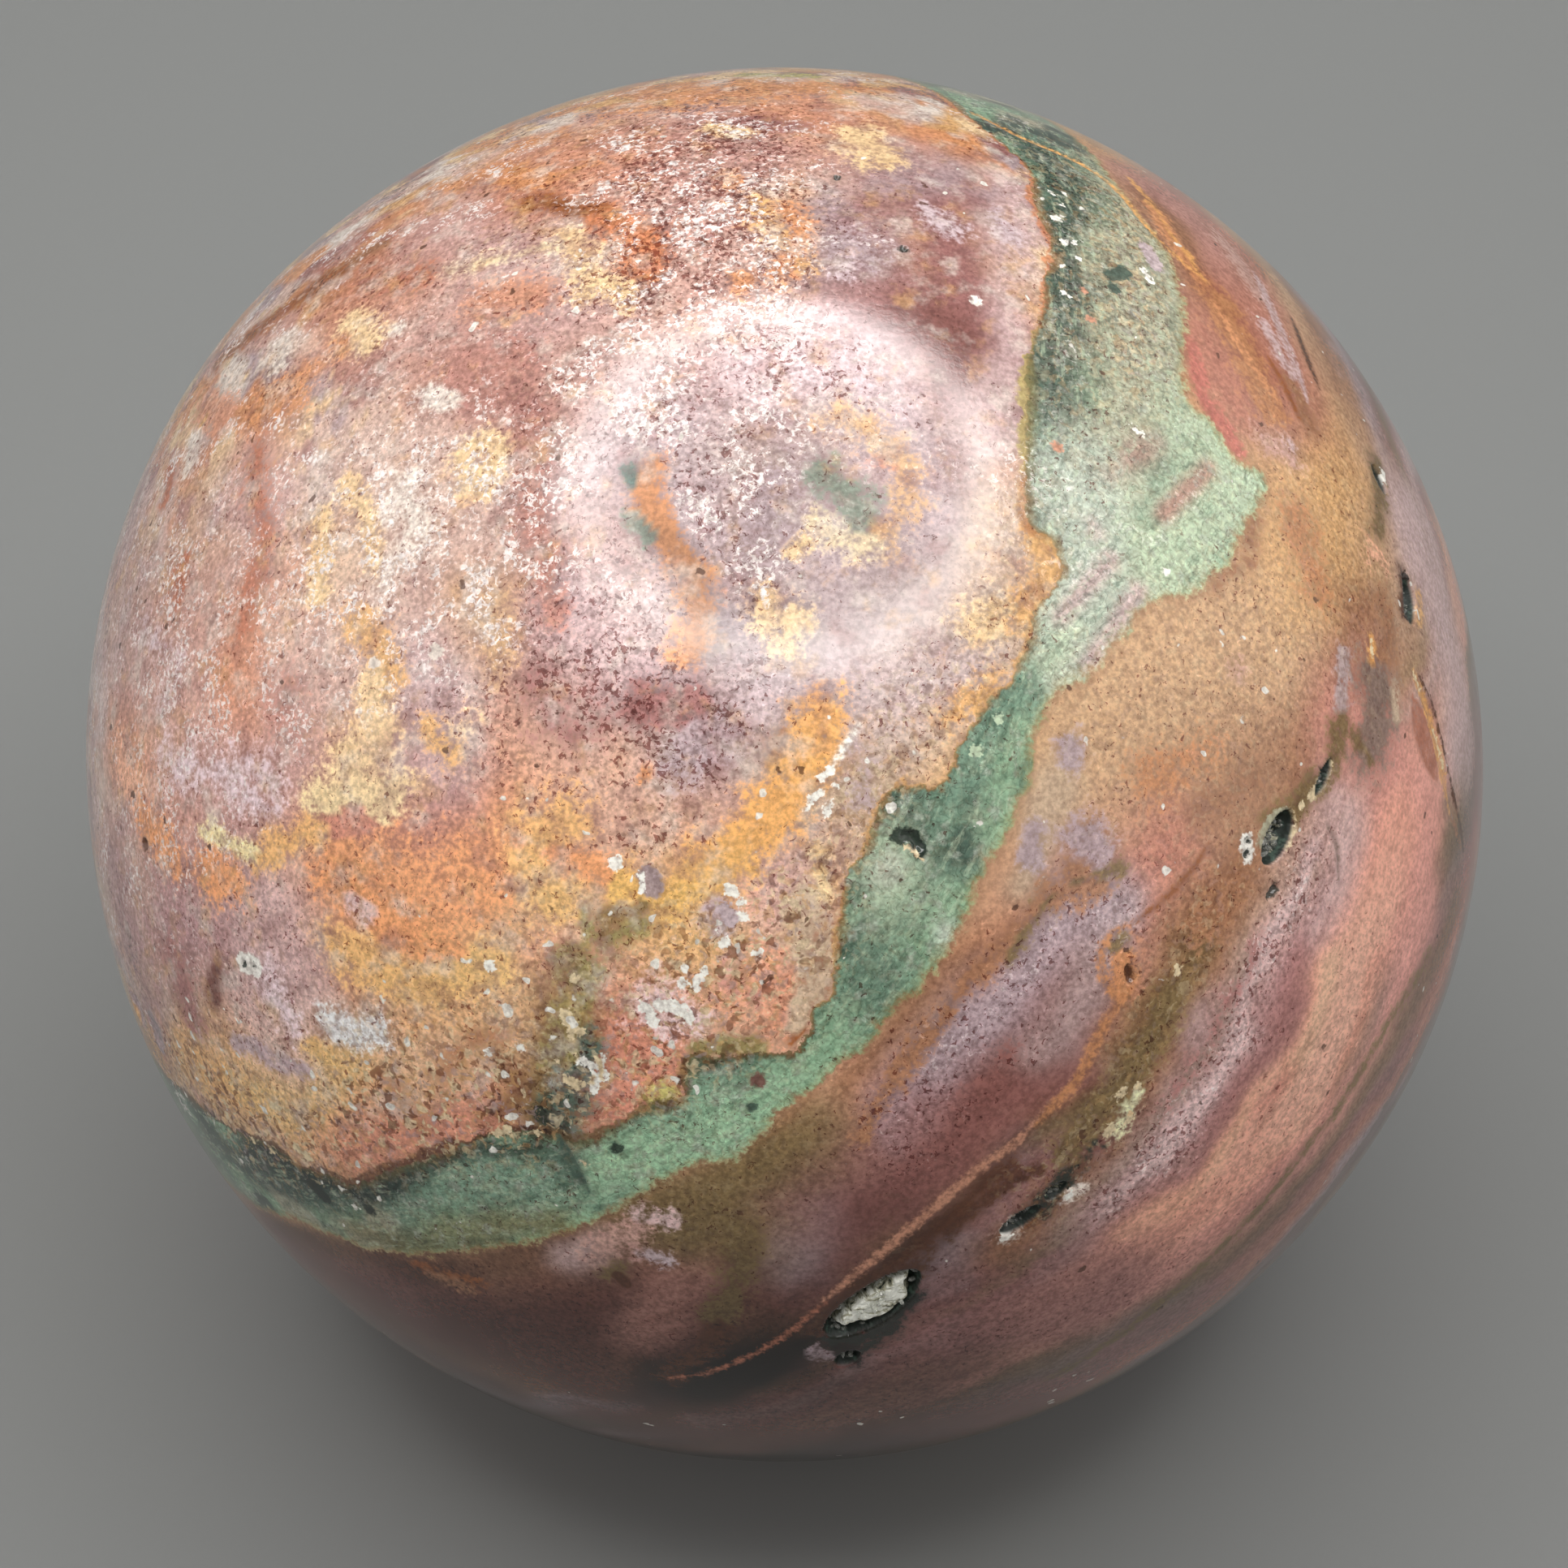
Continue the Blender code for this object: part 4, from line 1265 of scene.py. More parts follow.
FLECKS = (
    *inlays(Pigment.QUARTZ_WHITE, (0.3, 1301, 269), (0.16, 1296, 238), (0.16, 1311, 239), (0.15, 1309, 253),
             (0.18, 1309, 297, 1324, 299), (0.15, 1309, 327), (0.15, 1329, 318), (0.18, 1314, 363),
             (0.2, 1410, 334, 1418, 346), (0.13, 1395, 526, 1408, 535), (0.22, 1436, 704),
             (0.25, 438, 1487), (0.14, 790, 1075, 790, 1098), (0.25, 603, 1298), (0.25, 640, 1290),
             (0.35, 759, 1063), (0.3, 603, 1190), (0.28, 897, 1094, 904, 1100), (0.22, 912, 1112),
             (0.26, 915, 1129), (0.3, 892, 1162), (0.25, 933, 1175), (0.22, 844, 1193), (0.22, 869, 1196),
             (0.25, 842, 1211), (0.22, 858, 1216), (0.36, 812, 1238, 838, 1242), (0.3, 848, 1254),
             # The fleck at 1704, 582 on the next line is a painted glint in the pocket near the right edge.
             (0.3, 805, 1257, 795, 1240), (0.25, 1704, 582, 1704, 596), (0.25, 1316, 1474),
             (0.3, 1237, 1525, 1246, 1516), (0.2, 1024, 948, 1012, 958), (0.22, 1010, 976, 1000, 986),
             (0.16, 1030, 968), (0.18, 1022, 992, 1018, 1002), (0.14, 994, 998), (0.17, 842, 1240),
             (0.22, 716, 1306, 738, 1318, 730, 1342), (0.16, 742, 1300, 746, 1326)),
    *inlays(Pigment.MINT, (0.3, 1202, 925), (0.25, 1230, 885)),
    *inlays(Pigment.CREAM, (0.1, 1118, 1042, 1128, 1052, 1136, 1058), (0.2, 721, 1432),
             (0.2, 703, 1330, 718, 1336), (0.22, 730, 1334, 741, 1322, 738, 1306), (0.17, 712, 1304),
             (0.3, 708, 1207), (0.28, 698, 1256, 714, 1272), (0.22, 687, 1305), (0.22, 662, 1396),
             (0.25, 624, 1392, 612, 1396), (0.2, 279, 1372), (0.2, 335, 1362, 345, 1366), (0.2, 335, 1418),
             (0.2, 312, 1405), (0.3, 366, 1414, 380, 1426), (0.25, 1401, 1339), (0.25, 1390, 1379),
             # The three thin cream flecks on the next line are painted highlights along the chip's edge and on the
             # shard.
             (0.12, 1741, 830, 1752, 850), (0.1, 1769, 900, 1781, 950), (0.12, 1689, 788, 1691, 808),
             (0.2, 1640, 938), (0.22, 1604, 992), (0.24, 696, 1248, 706, 1262, 704, 1274),
             (0.22, 698, 1328, 712, 1342), (0.2, 1378, 1352, 1386, 1344), (0.24, 1362, 1398, 1370, 1388),
             (0.14, 1452, 1192, 1450, 1200)),
    *inlays(Pigment.LILAC_WHITE, (0.4, 893, 1120, 900, 1132)),
    *inlays(Pigment.BOTTLE_BLACK, (0.2, 301, 1188), (0.16, 312, 1191), (0.2, 1538, 1037),
             (0.2, 1536, 1053)),
    *inlays(Pigment.FROST, (0.3, 462, 817), (0.4, 537, 802)),
    *inlays(Pigment.DARK_BROWN, (0.1, 1120, 1040, 1127, 1052)),
    *inlays(Pigment.YELLOW, (0.18, 1392, 1372)),
)

RIMS = (
    *strokes(Pigment.VIVID_ORANGE, (2, 0.9, 1184, 138, 1253, 195, 1290, 320, 1271, 419)),
    *strokes(Pigment.OCHRE, (2, 1, 1278, 746, 1250, 838, 1181, 915, 1104, 968),
             (2, 0.8, 1060, 1050, 1035, 1132, 1022, 1231)),
    *strokes(Pigment.OLIVE_BROWN, (2, 1, 984, 1295, 857, 1303, 800, 1370, 700, 1405)),
    *strokes(Pigment.DARK_BROWN, (1.3, 1, 650, 1392, 542, 1420, 432, 1461),
             (1.6, 1, 400, 1446, 300, 1395, 207, 1328)),
    *strokes(Pigment.OLIVE_YELLOW, (1.6, 0.8, 1271, 430, 1265, 463, 1263, 560, 1266, 630)),
    *strokes(Pigment.CARAMEL, (0.8, 0.9, 1262, 600, 1268, 655)),
)

GRAINS = grains(
    (4, 0.15, 0.18, 0, 1100, 400, 1250, 430), (4, 0.15, 0.2, 0, 1130, 180, 1220, 300),
    (5, 1, 0.95, 0, 860, 190, 860, 290, 890, 390), (4, 0.55, 0.9, 0, 780, 460, 760, 560, 780, 700),
    (4.4, 0.6, 1, 0, 850, 470, 860, 580, 900, 660), (5, 0.9, 0.3, 0, 680, 850, 720, 940, 820, 880),
    (5, 0.35, 0.9, 0, 500, 600, 560, 700, 440, 740), (4, 0.4, 0.5, 0, 560, 440, 480, 400),
    (2.5, 0.3, 0.7, 0, 1230, 560, 1240, 640, 1200, 760),
    (3, 0.4, 0.4, 0.5, 1270, 700, 1240, 800, 1120, 900, 1050, 1000),
    (6, 0.42, 0, 0, 450, 1090, 560, 1090, 680, 1080), (4, 0.3, 0.3, 1, 280, 1350, 450, 1370, 620, 1350),
    (4, 0.35, 0.35, 0.9, 780, 1300, 880, 1200, 960, 1130), (2, 0.5, 0, 0.35, 720, 1150, 700, 1300),
    (4, 0.5, 0.4, 0, 250, 1180, 330, 1260), (1.6, 0.2, 0, 0.1, 1010, 890, 950, 1000, 880, 1080),
    (3, 0.6, 0.5, 0, 1370, 1120, 1250, 1220, 1110, 1390), (3, 0.4, 0.25, 0.1, 970, 1430, 860, 1500),
    (7, 0.35, 0.25, 0.2, 1450, 900, 1560, 780, 1640, 650),
    (2.2, 0.4, 0.2, 0.3, 1500, 1100, 1400, 1300, 1280, 1490),
    (2.2, 0.7, 0.6, 0, 1610, 1060, 1560, 1200, 1480, 1340, 1380, 1480),
    (7, 0.25, 0.75, 0, 200, 720, 260, 860, 200, 980), (4, 0.3, 0.25, 0, 1690, 1180, 1560, 1420, 1380, 1600),
    (6, 0.4, 0.12, 0, 1200, 1640, 1050, 1720, 850, 1650, 650, 1620),
    (2.6, 0.15, 0.12, 0, 1030, 770, 1110, 740, 1160, 640), (2.4, 0.3, 0.5, 0, 1040, 560, 1070, 640),
    (1.3, 0.1, 0, 0, 797, 588, 802, 640, 828, 682, 852, 712, 862, 756, 842, 798),
    (1.1, 0.2, 0.2, 0, 1030, 595, 1064, 635), (2.4, 0.4, 0.4, 0.55, 1340, 240, 1390, 330, 1400, 450),
    (1.6, 0.4, 0.45, 0.3, 1300, 200, 1310, 320, 1310, 500),
    (2.6, 0.15, 0.5, 0.1, 1480, 560, 1420, 650, 1330, 700),
    (1.5, 0.3, 0.35, 0.05, 1300, 800, 1230, 900, 1150, 1010),
    (2, 0.3, 0.3, 0.08, 1120, 1080, 1100, 1180, 1010, 1300),
    (2, 0.4, 0.4, 0.1, 900, 1370, 760, 1430, 600, 1470, 440, 1480),
    (2.2, 0.35, 0.35, 0.4, 690, 1150, 735, 1180),
)

STREAKINESS = amounts(
    (8, 0.12, 1430, 900, 1560, 780, 1640, 650), (4, 0.3, 1520, 960, 1470, 1070),
    (3.5, 0.2, 1300, 1140, 1200, 1260, 1090, 1400), (3, 0.15, 960, 1430, 860, 1490),
    (4, 0.7, 1700, 1000, 1640, 1250, 1500, 1450, 1330, 1600), (5, 0.3, 1740, 620, 1780, 760, 1790, 920),
)

CRUMBS = amounts(
    (6, 0.75, 280, 1350, 500, 1370, 620, 1340, 700, 1280), (4, 0.85, 800, 1220, 880, 1140, 960, 1100),
    (3, 0.6, 1060, 920, 1040, 1040, 1000, 1120), (3, 0.6, 1300, 240, 1310, 400),
    (5, 0.66, 1450, 950, 1540, 880, 1600, 960), (6, 0, 1700, 1000, 1640, 1250, 1500, 1450, 1330, 1600),
    (10, 0.1, 250, 650, 300, 800, 260, 950), (4, 0.1, 1300, 1140, 1200, 1260, 1090, 1400),
    (6, 0.05, 560, 1620, 700, 1640, 860, 1620), (2.5, 0.45, 960, 1430, 860, 1490),
)

GROOVES = amounts(
    (0.22, 0.05, 1200, 140, 1258, 169, 1332, 202, 1375, 233, 1413, 279, 1477, 338),
    (0.2, 0.04, 1230, 165, 1290, 190, 1350, 222), (0.5, 0.16, 1743, 833, 1766, 889, 1779, 953, 1794, 1012),
    (0.25, 0.08, 685, 1395, 695, 1415, 716, 1453, 733, 1487),
    (0.2, 0.06, 1635, 1015, 1648, 1045, 1650, 1090), (0.25, 0.3, 1576, 1086, 1568, 1098, 1562, 1110),
    (0.2, 0.25, 301, 1188), (0.18, 0.2, 312, 1191), (0.22, 0.25, 1538, 1037), (0.22, 0.25, 1536, 1053),
    (1.3, 0.25, 168, 1238), (1, 0.12, 188, 1255, 198, 1290), (0.35, 0.25, 179, 1040), (0.25, 0.2, 1202, 371),
    (0.22, 0.2, 1114, 307), (0.22, 0.2, 1031, 219), (0.3, 0.25, 1108, 1030, 1124, 1030, 1134, 1050),
    (0.28, 0.3, 1390, 1188, 1394, 1212), (0.6, 0.07, 1240, 1432, 1140, 1520, 1070, 1580),
    (0.35, 0.3, 1730, 700, 1734, 760),
)

# Broad places that are paler than their pigments: painted light over the ball's lower half, where the lamp leaves it
# darker, and paler stone in some smaller places.
PALE_STONE_AND_LIGHT_BY = 0.7
PALEST = 0.9
PALE_STONE_AND_LIGHT = amounts(
    (16, 0.42, 300, 1150, 700, 1250, 1100, 1250, 1600, 1150),
    (9, 0.72, 260, 1100, 400, 1220, 560, 1290, 600, 1360),
    (7, 1, 720, 1230, 860, 1290, 800, 1420, 930, 1400), (3.5, 1, 330, 1350, 600, 1350),
    (5, 0.1, 1230, 1000, 1400, 980, 1150, 1200), (8, 0.78, 1350, 1260, 1500, 1300, 1650, 1250),
    (7, 0, 560, 1640, 760, 1700, 1000, 1680, 1200, 1640), (4, 0.4, 770, 890, 950, 900, 1120, 940),
    (2.4, 0.55, 940, 440, 1020, 438, 1075, 480), (2.2, 0.35, 1100, 530, 1115, 600),
    (2, 0.45, 780, 845, 710, 770), (2.6, 1, 430, 1390, 500, 1410), (2.6, 0.85, 690, 1150, 730, 1175),
)

# Broad places where it is darker: painted shade along the ball's foot and lower edge, and darker stone in some
# smaller places.
DARK_STONE_AND_SHADE_BY = 0.62
DARK_STONE_AND_SHADE = amounts(
    (6.5, 1, 560, 1700, 700, 1770, 900, 1800, 1080, 1790),
    (4, 0.4, 420, 1580, 560, 1640, 760, 1610, 860, 1560), (4, 0.4, 1050, 1720, 1180, 1690),
    (3.6, 0.4, 1010, 1480, 1110, 1540, 980, 1600), (1.1, 0.45, 815, 670, 850, 712, 862, 756, 850, 790),
    (2, 0.12, 1270, 1075, 1240, 1110),
)


# Colours of the layers where no stroke lies, from the ribbon on, in millimetres along the layers' normal.
LAYER_COLOURS = (
    (-14.0, Pigment.OCHRE), (-11.0, Pigment.TAN), (-7.0, Pigment.SALMON_BROWN), (-4.0, Pigment.TAN),
    (-0.5, Pigment.BROWN), (1.2, Pigment.LAVENDER), (3.6, Pigment.MAROON), (5.0, Pigment.OLIVE_BROWN),
    (6.0, Pigment.MAROON_ROSE), (7.4, Pigment.PINK_LILAC), (8.8, Pigment.MAROON_ROSE), (11.0, Pigment.PEACH),
    (13.8, Pigment.CORAL), (15.2, Pigment.OLIVE_BROWN), (17.0, Pigment.TAUPE), (20.0, Pigment.MAROON_ROSE),
    (23.0, Pigment.SALMON_BROWN), (25.0, Pigment.LILAC_GREY), (27.0, Pigment.DARK_MAROON), (30.0, Pigment.TAN),
    (33.0, Pigment.BROWN), (36.0, Pigment.PINK_LILAC), (40.0, Pigment.MAROON_ROSE),
)

# Clouds of colour in the mottled stone: pigment, width in millimetres, where they start, and a seed.
MOTTLES = (
    (Pigment.ROSE, 9.0, 0.05, 1.0), (Pigment.MAROON_ROSE, 7.0, 0.22, 23.0), (Pigment.LILAC_GREY, 6.0, 0.2, 41.0),
    (Pigment.FROST, 5.0, 0.2, 57.0), (Pigment.OCHRE, 6.0, 0.18, 73.0), (Pigment.ORANGE, 5.0, 0.24, 91.0),
    (Pigment.YELLOW, 3.6, 0.26, 113.0),
)


def smooth(value: np.ndarray, start: float, end: float) -> np.ndarray:
    """Turns values into a smooth step from 0 at start to 1 at end."""
    share = np.clip((value - start) / (end - start), 0.0, 1.0)
    return share * share * (3.0 - 2.0 * share)


def carried_round(path: np.ndarray, normal: np.ndarray) -> np.ndarray:
    """Carries a line of a layer on round the ball's hidden side, back to its start.

    Args:
        path: unit directions, close together.
        normal: the layer's normal.

    Returns:
        Unit directions that end where they begin.
    """
    first = np.cross(normal, (0.0, 0.0, 1.0))
    first /= np.linalg.norm(first)
    second = np.cross(normal, first)
    angle = np.unwrap(np.arctan2(path @ second, path @ first))
    height = path @ normal
    turned = angle[-1] - angle[0]
    rest = math.copysign(2.0 * math.pi, turned) - turned
    share = np.linspace(0.0, 1.0, 160)[1:-1]
    wave = 0.02 * np.sin(share * 21.0) * np.sin(share * math.pi)
    level = height[-1] + (height[0] - height[-1]) * smooth(share, 0.0, 1.0) + wave
    bearing = angle[-1] + rest * share
    wide = np.sqrt(1.0 - level**2)
    hidden = (np.cos(bearing) * wide)[:, None] * first + (np.sin(bearing) * wide)[:, None] * second
    return np.vstack((path, hidden + level[:, None] * normal, path[:1]))


def hidden_spots(count: int, seed: int) -> tuple[list[Stroke], list[Stroke]]:
    """Makes spots of colour where the photograph doesn't show the ball.

    Args:
        count: how many are tried, of which some fall where it does.
        seed: the seed of their places.

    Returns:
        The strokes of the mottled half and those of the layered half.
    """
    chance = np.random.default_rng(seed)
    mottled = (Pigment.ORANGE, Pigment.YELLOW, Pigment.FROST, Pigment.MAROON, Pigment.LILAC_WHITE, Pigment.BRICK,
               Pigment.OCHRE, Pigment.VIVID_ORANGE, Pigment.DUSTY_RED)
    layered = (Pigment.OCHRE, Pigment.BROWN, Pigment.PINK_LILAC, Pigment.MAROON, Pigment.PEACH, Pigment.OLIVE_BROWN,
               Pigment.SALMON_BROWN, Pigment.LILAC_GREY, Pigment.SAND)
    _right, _up, back = PHOTO.axes
    spots = ([], [])
    for _number in range(count):
        spot = chance.normal(size=3)
        spot /= np.linalg.norm(spot)
        side, length, reach, pick = chance.uniform(-1.0, 1.0), chance.uniform(), chance.uniform(), chance.integers(9)
        if spot @ back > 0.14:
            continue
        along = np.cross(LAYER_NORMAL, spot)
        in_layers = bool(spot @ LAYER_NORMAL > -0.33)
        if in_layers:
            run = along / np.linalg.norm(along) * (0.02 + 0.16 * length)
        else:
            run = np.cross(spot, along + side * LAYER_NORMAL) * 0.05 * length
        ends = np.array((spot - run, spot, spot + run + 0.01 * side * LAYER_NORMAL))
        ends /= np.linalg.norm(ends, axis=1, keepdims=True)
        path = tuple((math.degrees(math.atan2(x, -y)), math.degrees(math.asin(z))) for x, y, z in ends)
        size = 0.45 + 0.6 * reach if in_layers else 0.6 + 1.5 * reach**2
        pigment = (layered if in_layers else mottled)[pick]
        spots[in_layers].append(Stroke(pigment, size, path, 0.7 if in_layers else 0.95, hidden=True))
    return spots


class Painting:
    """The colours and the grain of the ball's skin, worked out for each point of its mesh."""

    def __init__(self, points: np.ndarray) -> None:
        """Keeps the unit directions of the points, also shifted to give clouds a ragged edge."""
        self.points = points
        self.cloudy = wobble(points, ((5.0, 1.3), (1.7, 0.5)), 3.0)
        self.loose = wobble(points, ((1.8, 0.45), (0.7, 0.16)), 11.0)
        self.layers = self.layer_places()

    def layer_places(self) -> np.ndarray:
        """Gives how far each point lies along the layers' normal, bent to the traced lines.

        Returns:
            Three millimetre values a point, of which the first is along the normal.
        """
        radius = PHOTO.ball_radius / MM
        first = np.cross(LAYER_NORMAL, (0.0, 0.0, 1.0))
        first /= np.linalg.norm(first)
        second = np.cross(LAYER_NORMAL, first)
        level = self.points @ LAYER_NORMAL * radius
        shift = np.zeros(len(self.points))
        weight = np.zeros(len(self.points))
        for line in LAYER_LINES:
            path = rounded(PHOTO.on_ball(np.array(line, float)), 0.04)
            heights = path @ LAYER_NORMAL * radius
            distance, _side, passed = measure(self.points, path)
            near_by = np.exp(-((distance / 7.0) ** 2))
            here = np.interp(passed, np.linspace(0.0, 1.0, len(path)), heights)
            shift += near_by * (heights.mean() - here)
            weight += near_by
        level += shift / np.maximum(weight, 1.0)
        return np.stack((level, self.points @ first * radius, self.points @ second * radius), axis=-1)

    def edge(self, line: tuple[tuple[float, float], ...], inside: tuple[float, float]) -> np.ndarray:
        """Gives each point's distance from one edge of the ribbon.

        Args:
            line: the edge in the photograph.
            inside: a pixel inside the ribbon.

        Returns:
            Millimetres, more than 0 inside.
        """
        path = carried_round(rounded(PHOTO.on_ball(np.array(line, float)), 0.012), LAYER_NORMAL)
        distance, side, _passed = measure(self.points, path)
        _distance, inner, _passed = measure(PHOTO.on_ball(np.array([inside], float)), path)
        hidden = smooth(self.points @ PHOTO.axes[2], 0.1, -0.2)
        return distance * side * inner + 4.5 * hidden * clouds(self.points, 9.0, 61.0 + len(line))

    @staticmethod
    def lay(colour: np.ndarray, points: np.ndarray, strokes: tuple[Stroke, ...]) -> np.ndarray:
        """Lays soft strokes over a colour, one over the other.

        Args:
            colour: one colour a point.
            points: unit directions.
            strokes: the strokes, the lowest first.

        Returns:
            The new colours.
        """
        for stroke in strokes:
            path = stroke.directions()
            which = near(points, path, stroke.reach * 2.6)
            distance, _side, _passed = measure(points[which], path)
            cover = stroke.strength * np.exp(-math.log(2.0) * (distance / stroke.reach) ** 2.6)
            colour[which] += cover[:, None] * (stroke.pigment.linear - colour[which])
        return colour

    def ground(self) -> np.ndarray:
        """Gives the ground colour: mottled above the ribbon and layered below it."""
        level = self.layers[:, 0] + clouds(self.points, 9.0, 5.0) * 2.4 + clouds(self.points, 2.5, 9.0) * 0.7
        stops = np.array([stop for stop, _pigment in LAYER_COLOURS])
        shades = np.array([pigment.linear for _stop, pigment in LAYER_COLOURS])
        layered = np.stack([np.interp(level, stops, shades[:, part]) for part in range(3)], axis=-1)
        mottled = np.tile(Pigment.SHELL_PINK.linear, (len(self.points), 1))
        for pigment, width, start, seed in MOTTLES:
            cover = smooth(clouds(self.points, width, seed), start, start + 0.16)[:, None]
            mottled += cover * (pigment.linear - mottled)
        below = smooth(self.points @ LAYER_NORMAL, -0.48, -0.4)[:, None]
        return self.lay(mottled + below * (layered - mottled), self.cloudy, WASHES)

    def picked(self, points: np.ndarray, strokes: tuple[Stroke, ...], soft: bool) -> np.ndarray:
        """Gives the colour of the stroke that each point is furthest inside, and how far that is.

        Args:
            points: unit directions.
            strokes: the strokes.
            soft: whether to give a cover from 0 to 1, which is 0.5 at a stroke's edge, rather than
                the distance inside it in millimetres.

        Returns:
            Red, green, blue and that value, for each point.
        """
        best = np.full(len(points), 0.0 if soft else -1.0)
        colour = np.zeros((len(points), 3))
        margin = 0.0 if soft else 1.0
        for stroke in strokes:
            path = stroke.directions()
            which = near(points, path, stroke.reach * 2.0 + margin)
            distance, _side, passed = measure(points[which], path)
            reach = stroke.reach
            if stroke.tapers:
                reach = reach * np.sqrt(np.clip(4.0 * passed * (1.0 - passed), 0.05, 1.0))
            inside = stroke.strength * np.clip(1.0 - distance / (2.0 * reach), 0.0, 1.0) if soft else reach - distance
            better = inside > best[which]
            best[which[better]] = inside[better]
            colour[which[better]] = stroke.pigment.linear
        return np.column_stack((colour, best))

    def grain(self) -> np.ndarray:
        """Gives how much pepper, frost and coarse sand shows, and how much the layers streak."""
        below = smooth(self.points @ LAYER_NORMAL, -0.44, -0.34)
        uneven = clouds(self.points, 4.0, 131.0)
        values = np.column_stack((0.35 + 0.5 * uneven, 0.45 - 0.6 * uneven, 0.12 + 0.3 * uneven, below))
        values[:, :3] *= 1.0 - 0.8 * below[:, None]
        for grain in GRAINS:
            path = grain.directions()
            which = near(self.cloudy, path, grain.reach * 2.6)
            distance, _side, _passed = measure(self.cloudy[which], path)
            cover = np.exp(-math.log(2.0) * (distance / grain.reach) ** 2.6)[:, None]
            values[which, :3] += cover * (np.array((grain.pepper, grain.frost, grain.coarse)) - values[which, :3])
        return np.clip(values, 0.0, 1.0)

    def amount(self, value: np.ndarray, places: tuple[Amount, ...]) -> np.ndarray:
        """Lays soft places of more or less over one value a point."""
        for place in places:
            path = place.directions()
            which = near(self.cloudy, path, place.reach * 2.6)
            distance, _side, _passed = measure(self.cloudy[which], path)
            cover = np.exp(-math.log(2.0) * (distance / place.reach) ** 2.6)
            value[which] += cover * (place.amount - value[which])
        return np.clip(value, 0.0, 1.0)

    def attributes(self) -> dict[str, np.ndarray]:
        """Gives every attribute by name: one number, three, or four a point."""
        ribbon = np.tile(Pigment.JADE.linear, (len(self.points), 1))
        for pigment, width, seed in ((Pigment.SAGE, 7.0, 201.0), (Pigment.LEAF, 5.0, 211.0), (Pigment.DEEP_TEAL, 4.0, 223.0)):
            cover = smooth(clouds(self.points, width, seed), 0.1, 0.4)[:, None]
            ribbon += cover * (pigment.linear - ribbon)
        rim = np.tile(Pigment.OCHRE.linear, (len(self.points), 1))
        spots, bands = hidden_spots(420, 7)
        patch = self.picked(self.loose, (*spots, *PATCHES), soft=True)
        ribbon = self.lay(self.lay(ribbon, self.cloudy, RIBBON_WASHES), self.points, RIBBON_STREAKS)
        # Paler and darker stone, with painted light on the ball's lower half and painted shade along its foot.
        tone_light_and_shade = 1.0 + PALE_STONE_AND_LIGHT_BY * self.amount(np.zeros(len(self.points)), PALE_STONE_AND_LIGHT)[:, None]
        tone_light_and_shade *= 1.0 - DARK_STONE_AND_SHADE_BY * self.amount(np.zeros(len(self.points)), DARK_STONE_AND_SHADE)[:, None]
        patch[:, :3] = np.minimum(patch[:, :3] * tone_light_and_shade, PALEST)
        return {
            "ground": np.minimum(self.lay(self.ground(), self.cloudy, bands) * tone_light_and_shade, PALEST),
            "patch": patch,
            "ribbon": np.minimum(ribbon * tone_light_and_shade, PALEST),
            "rim": self.lay(rim, self.points, RIMS),
            "edge_upper": self.edge(RIBBON_UPPER_EDGE, (1390, 600)),
            "edge_lower": self.edge(RIBBON_LOWER_EDGE, (1390, 600)),
            "vein": self.picked(self.points, VEINS, soft=False),
            "mark": self.picked(self.points, MARKS, soft=False),
            "fleck": self.picked(self.points, FLECKS, soft=False),
            "grain": self.grain(),
            "layer": self.layers,
            "streak": self.amount(0.75 * smooth(self.points @ LAYER_NORMAL, -0.44, -0.34), STREAKINESS),
            "crumbs": self.amount(0.25 + 0.5 * clouds(self.points, 6.0, 171.0), CRUMBS),
        }


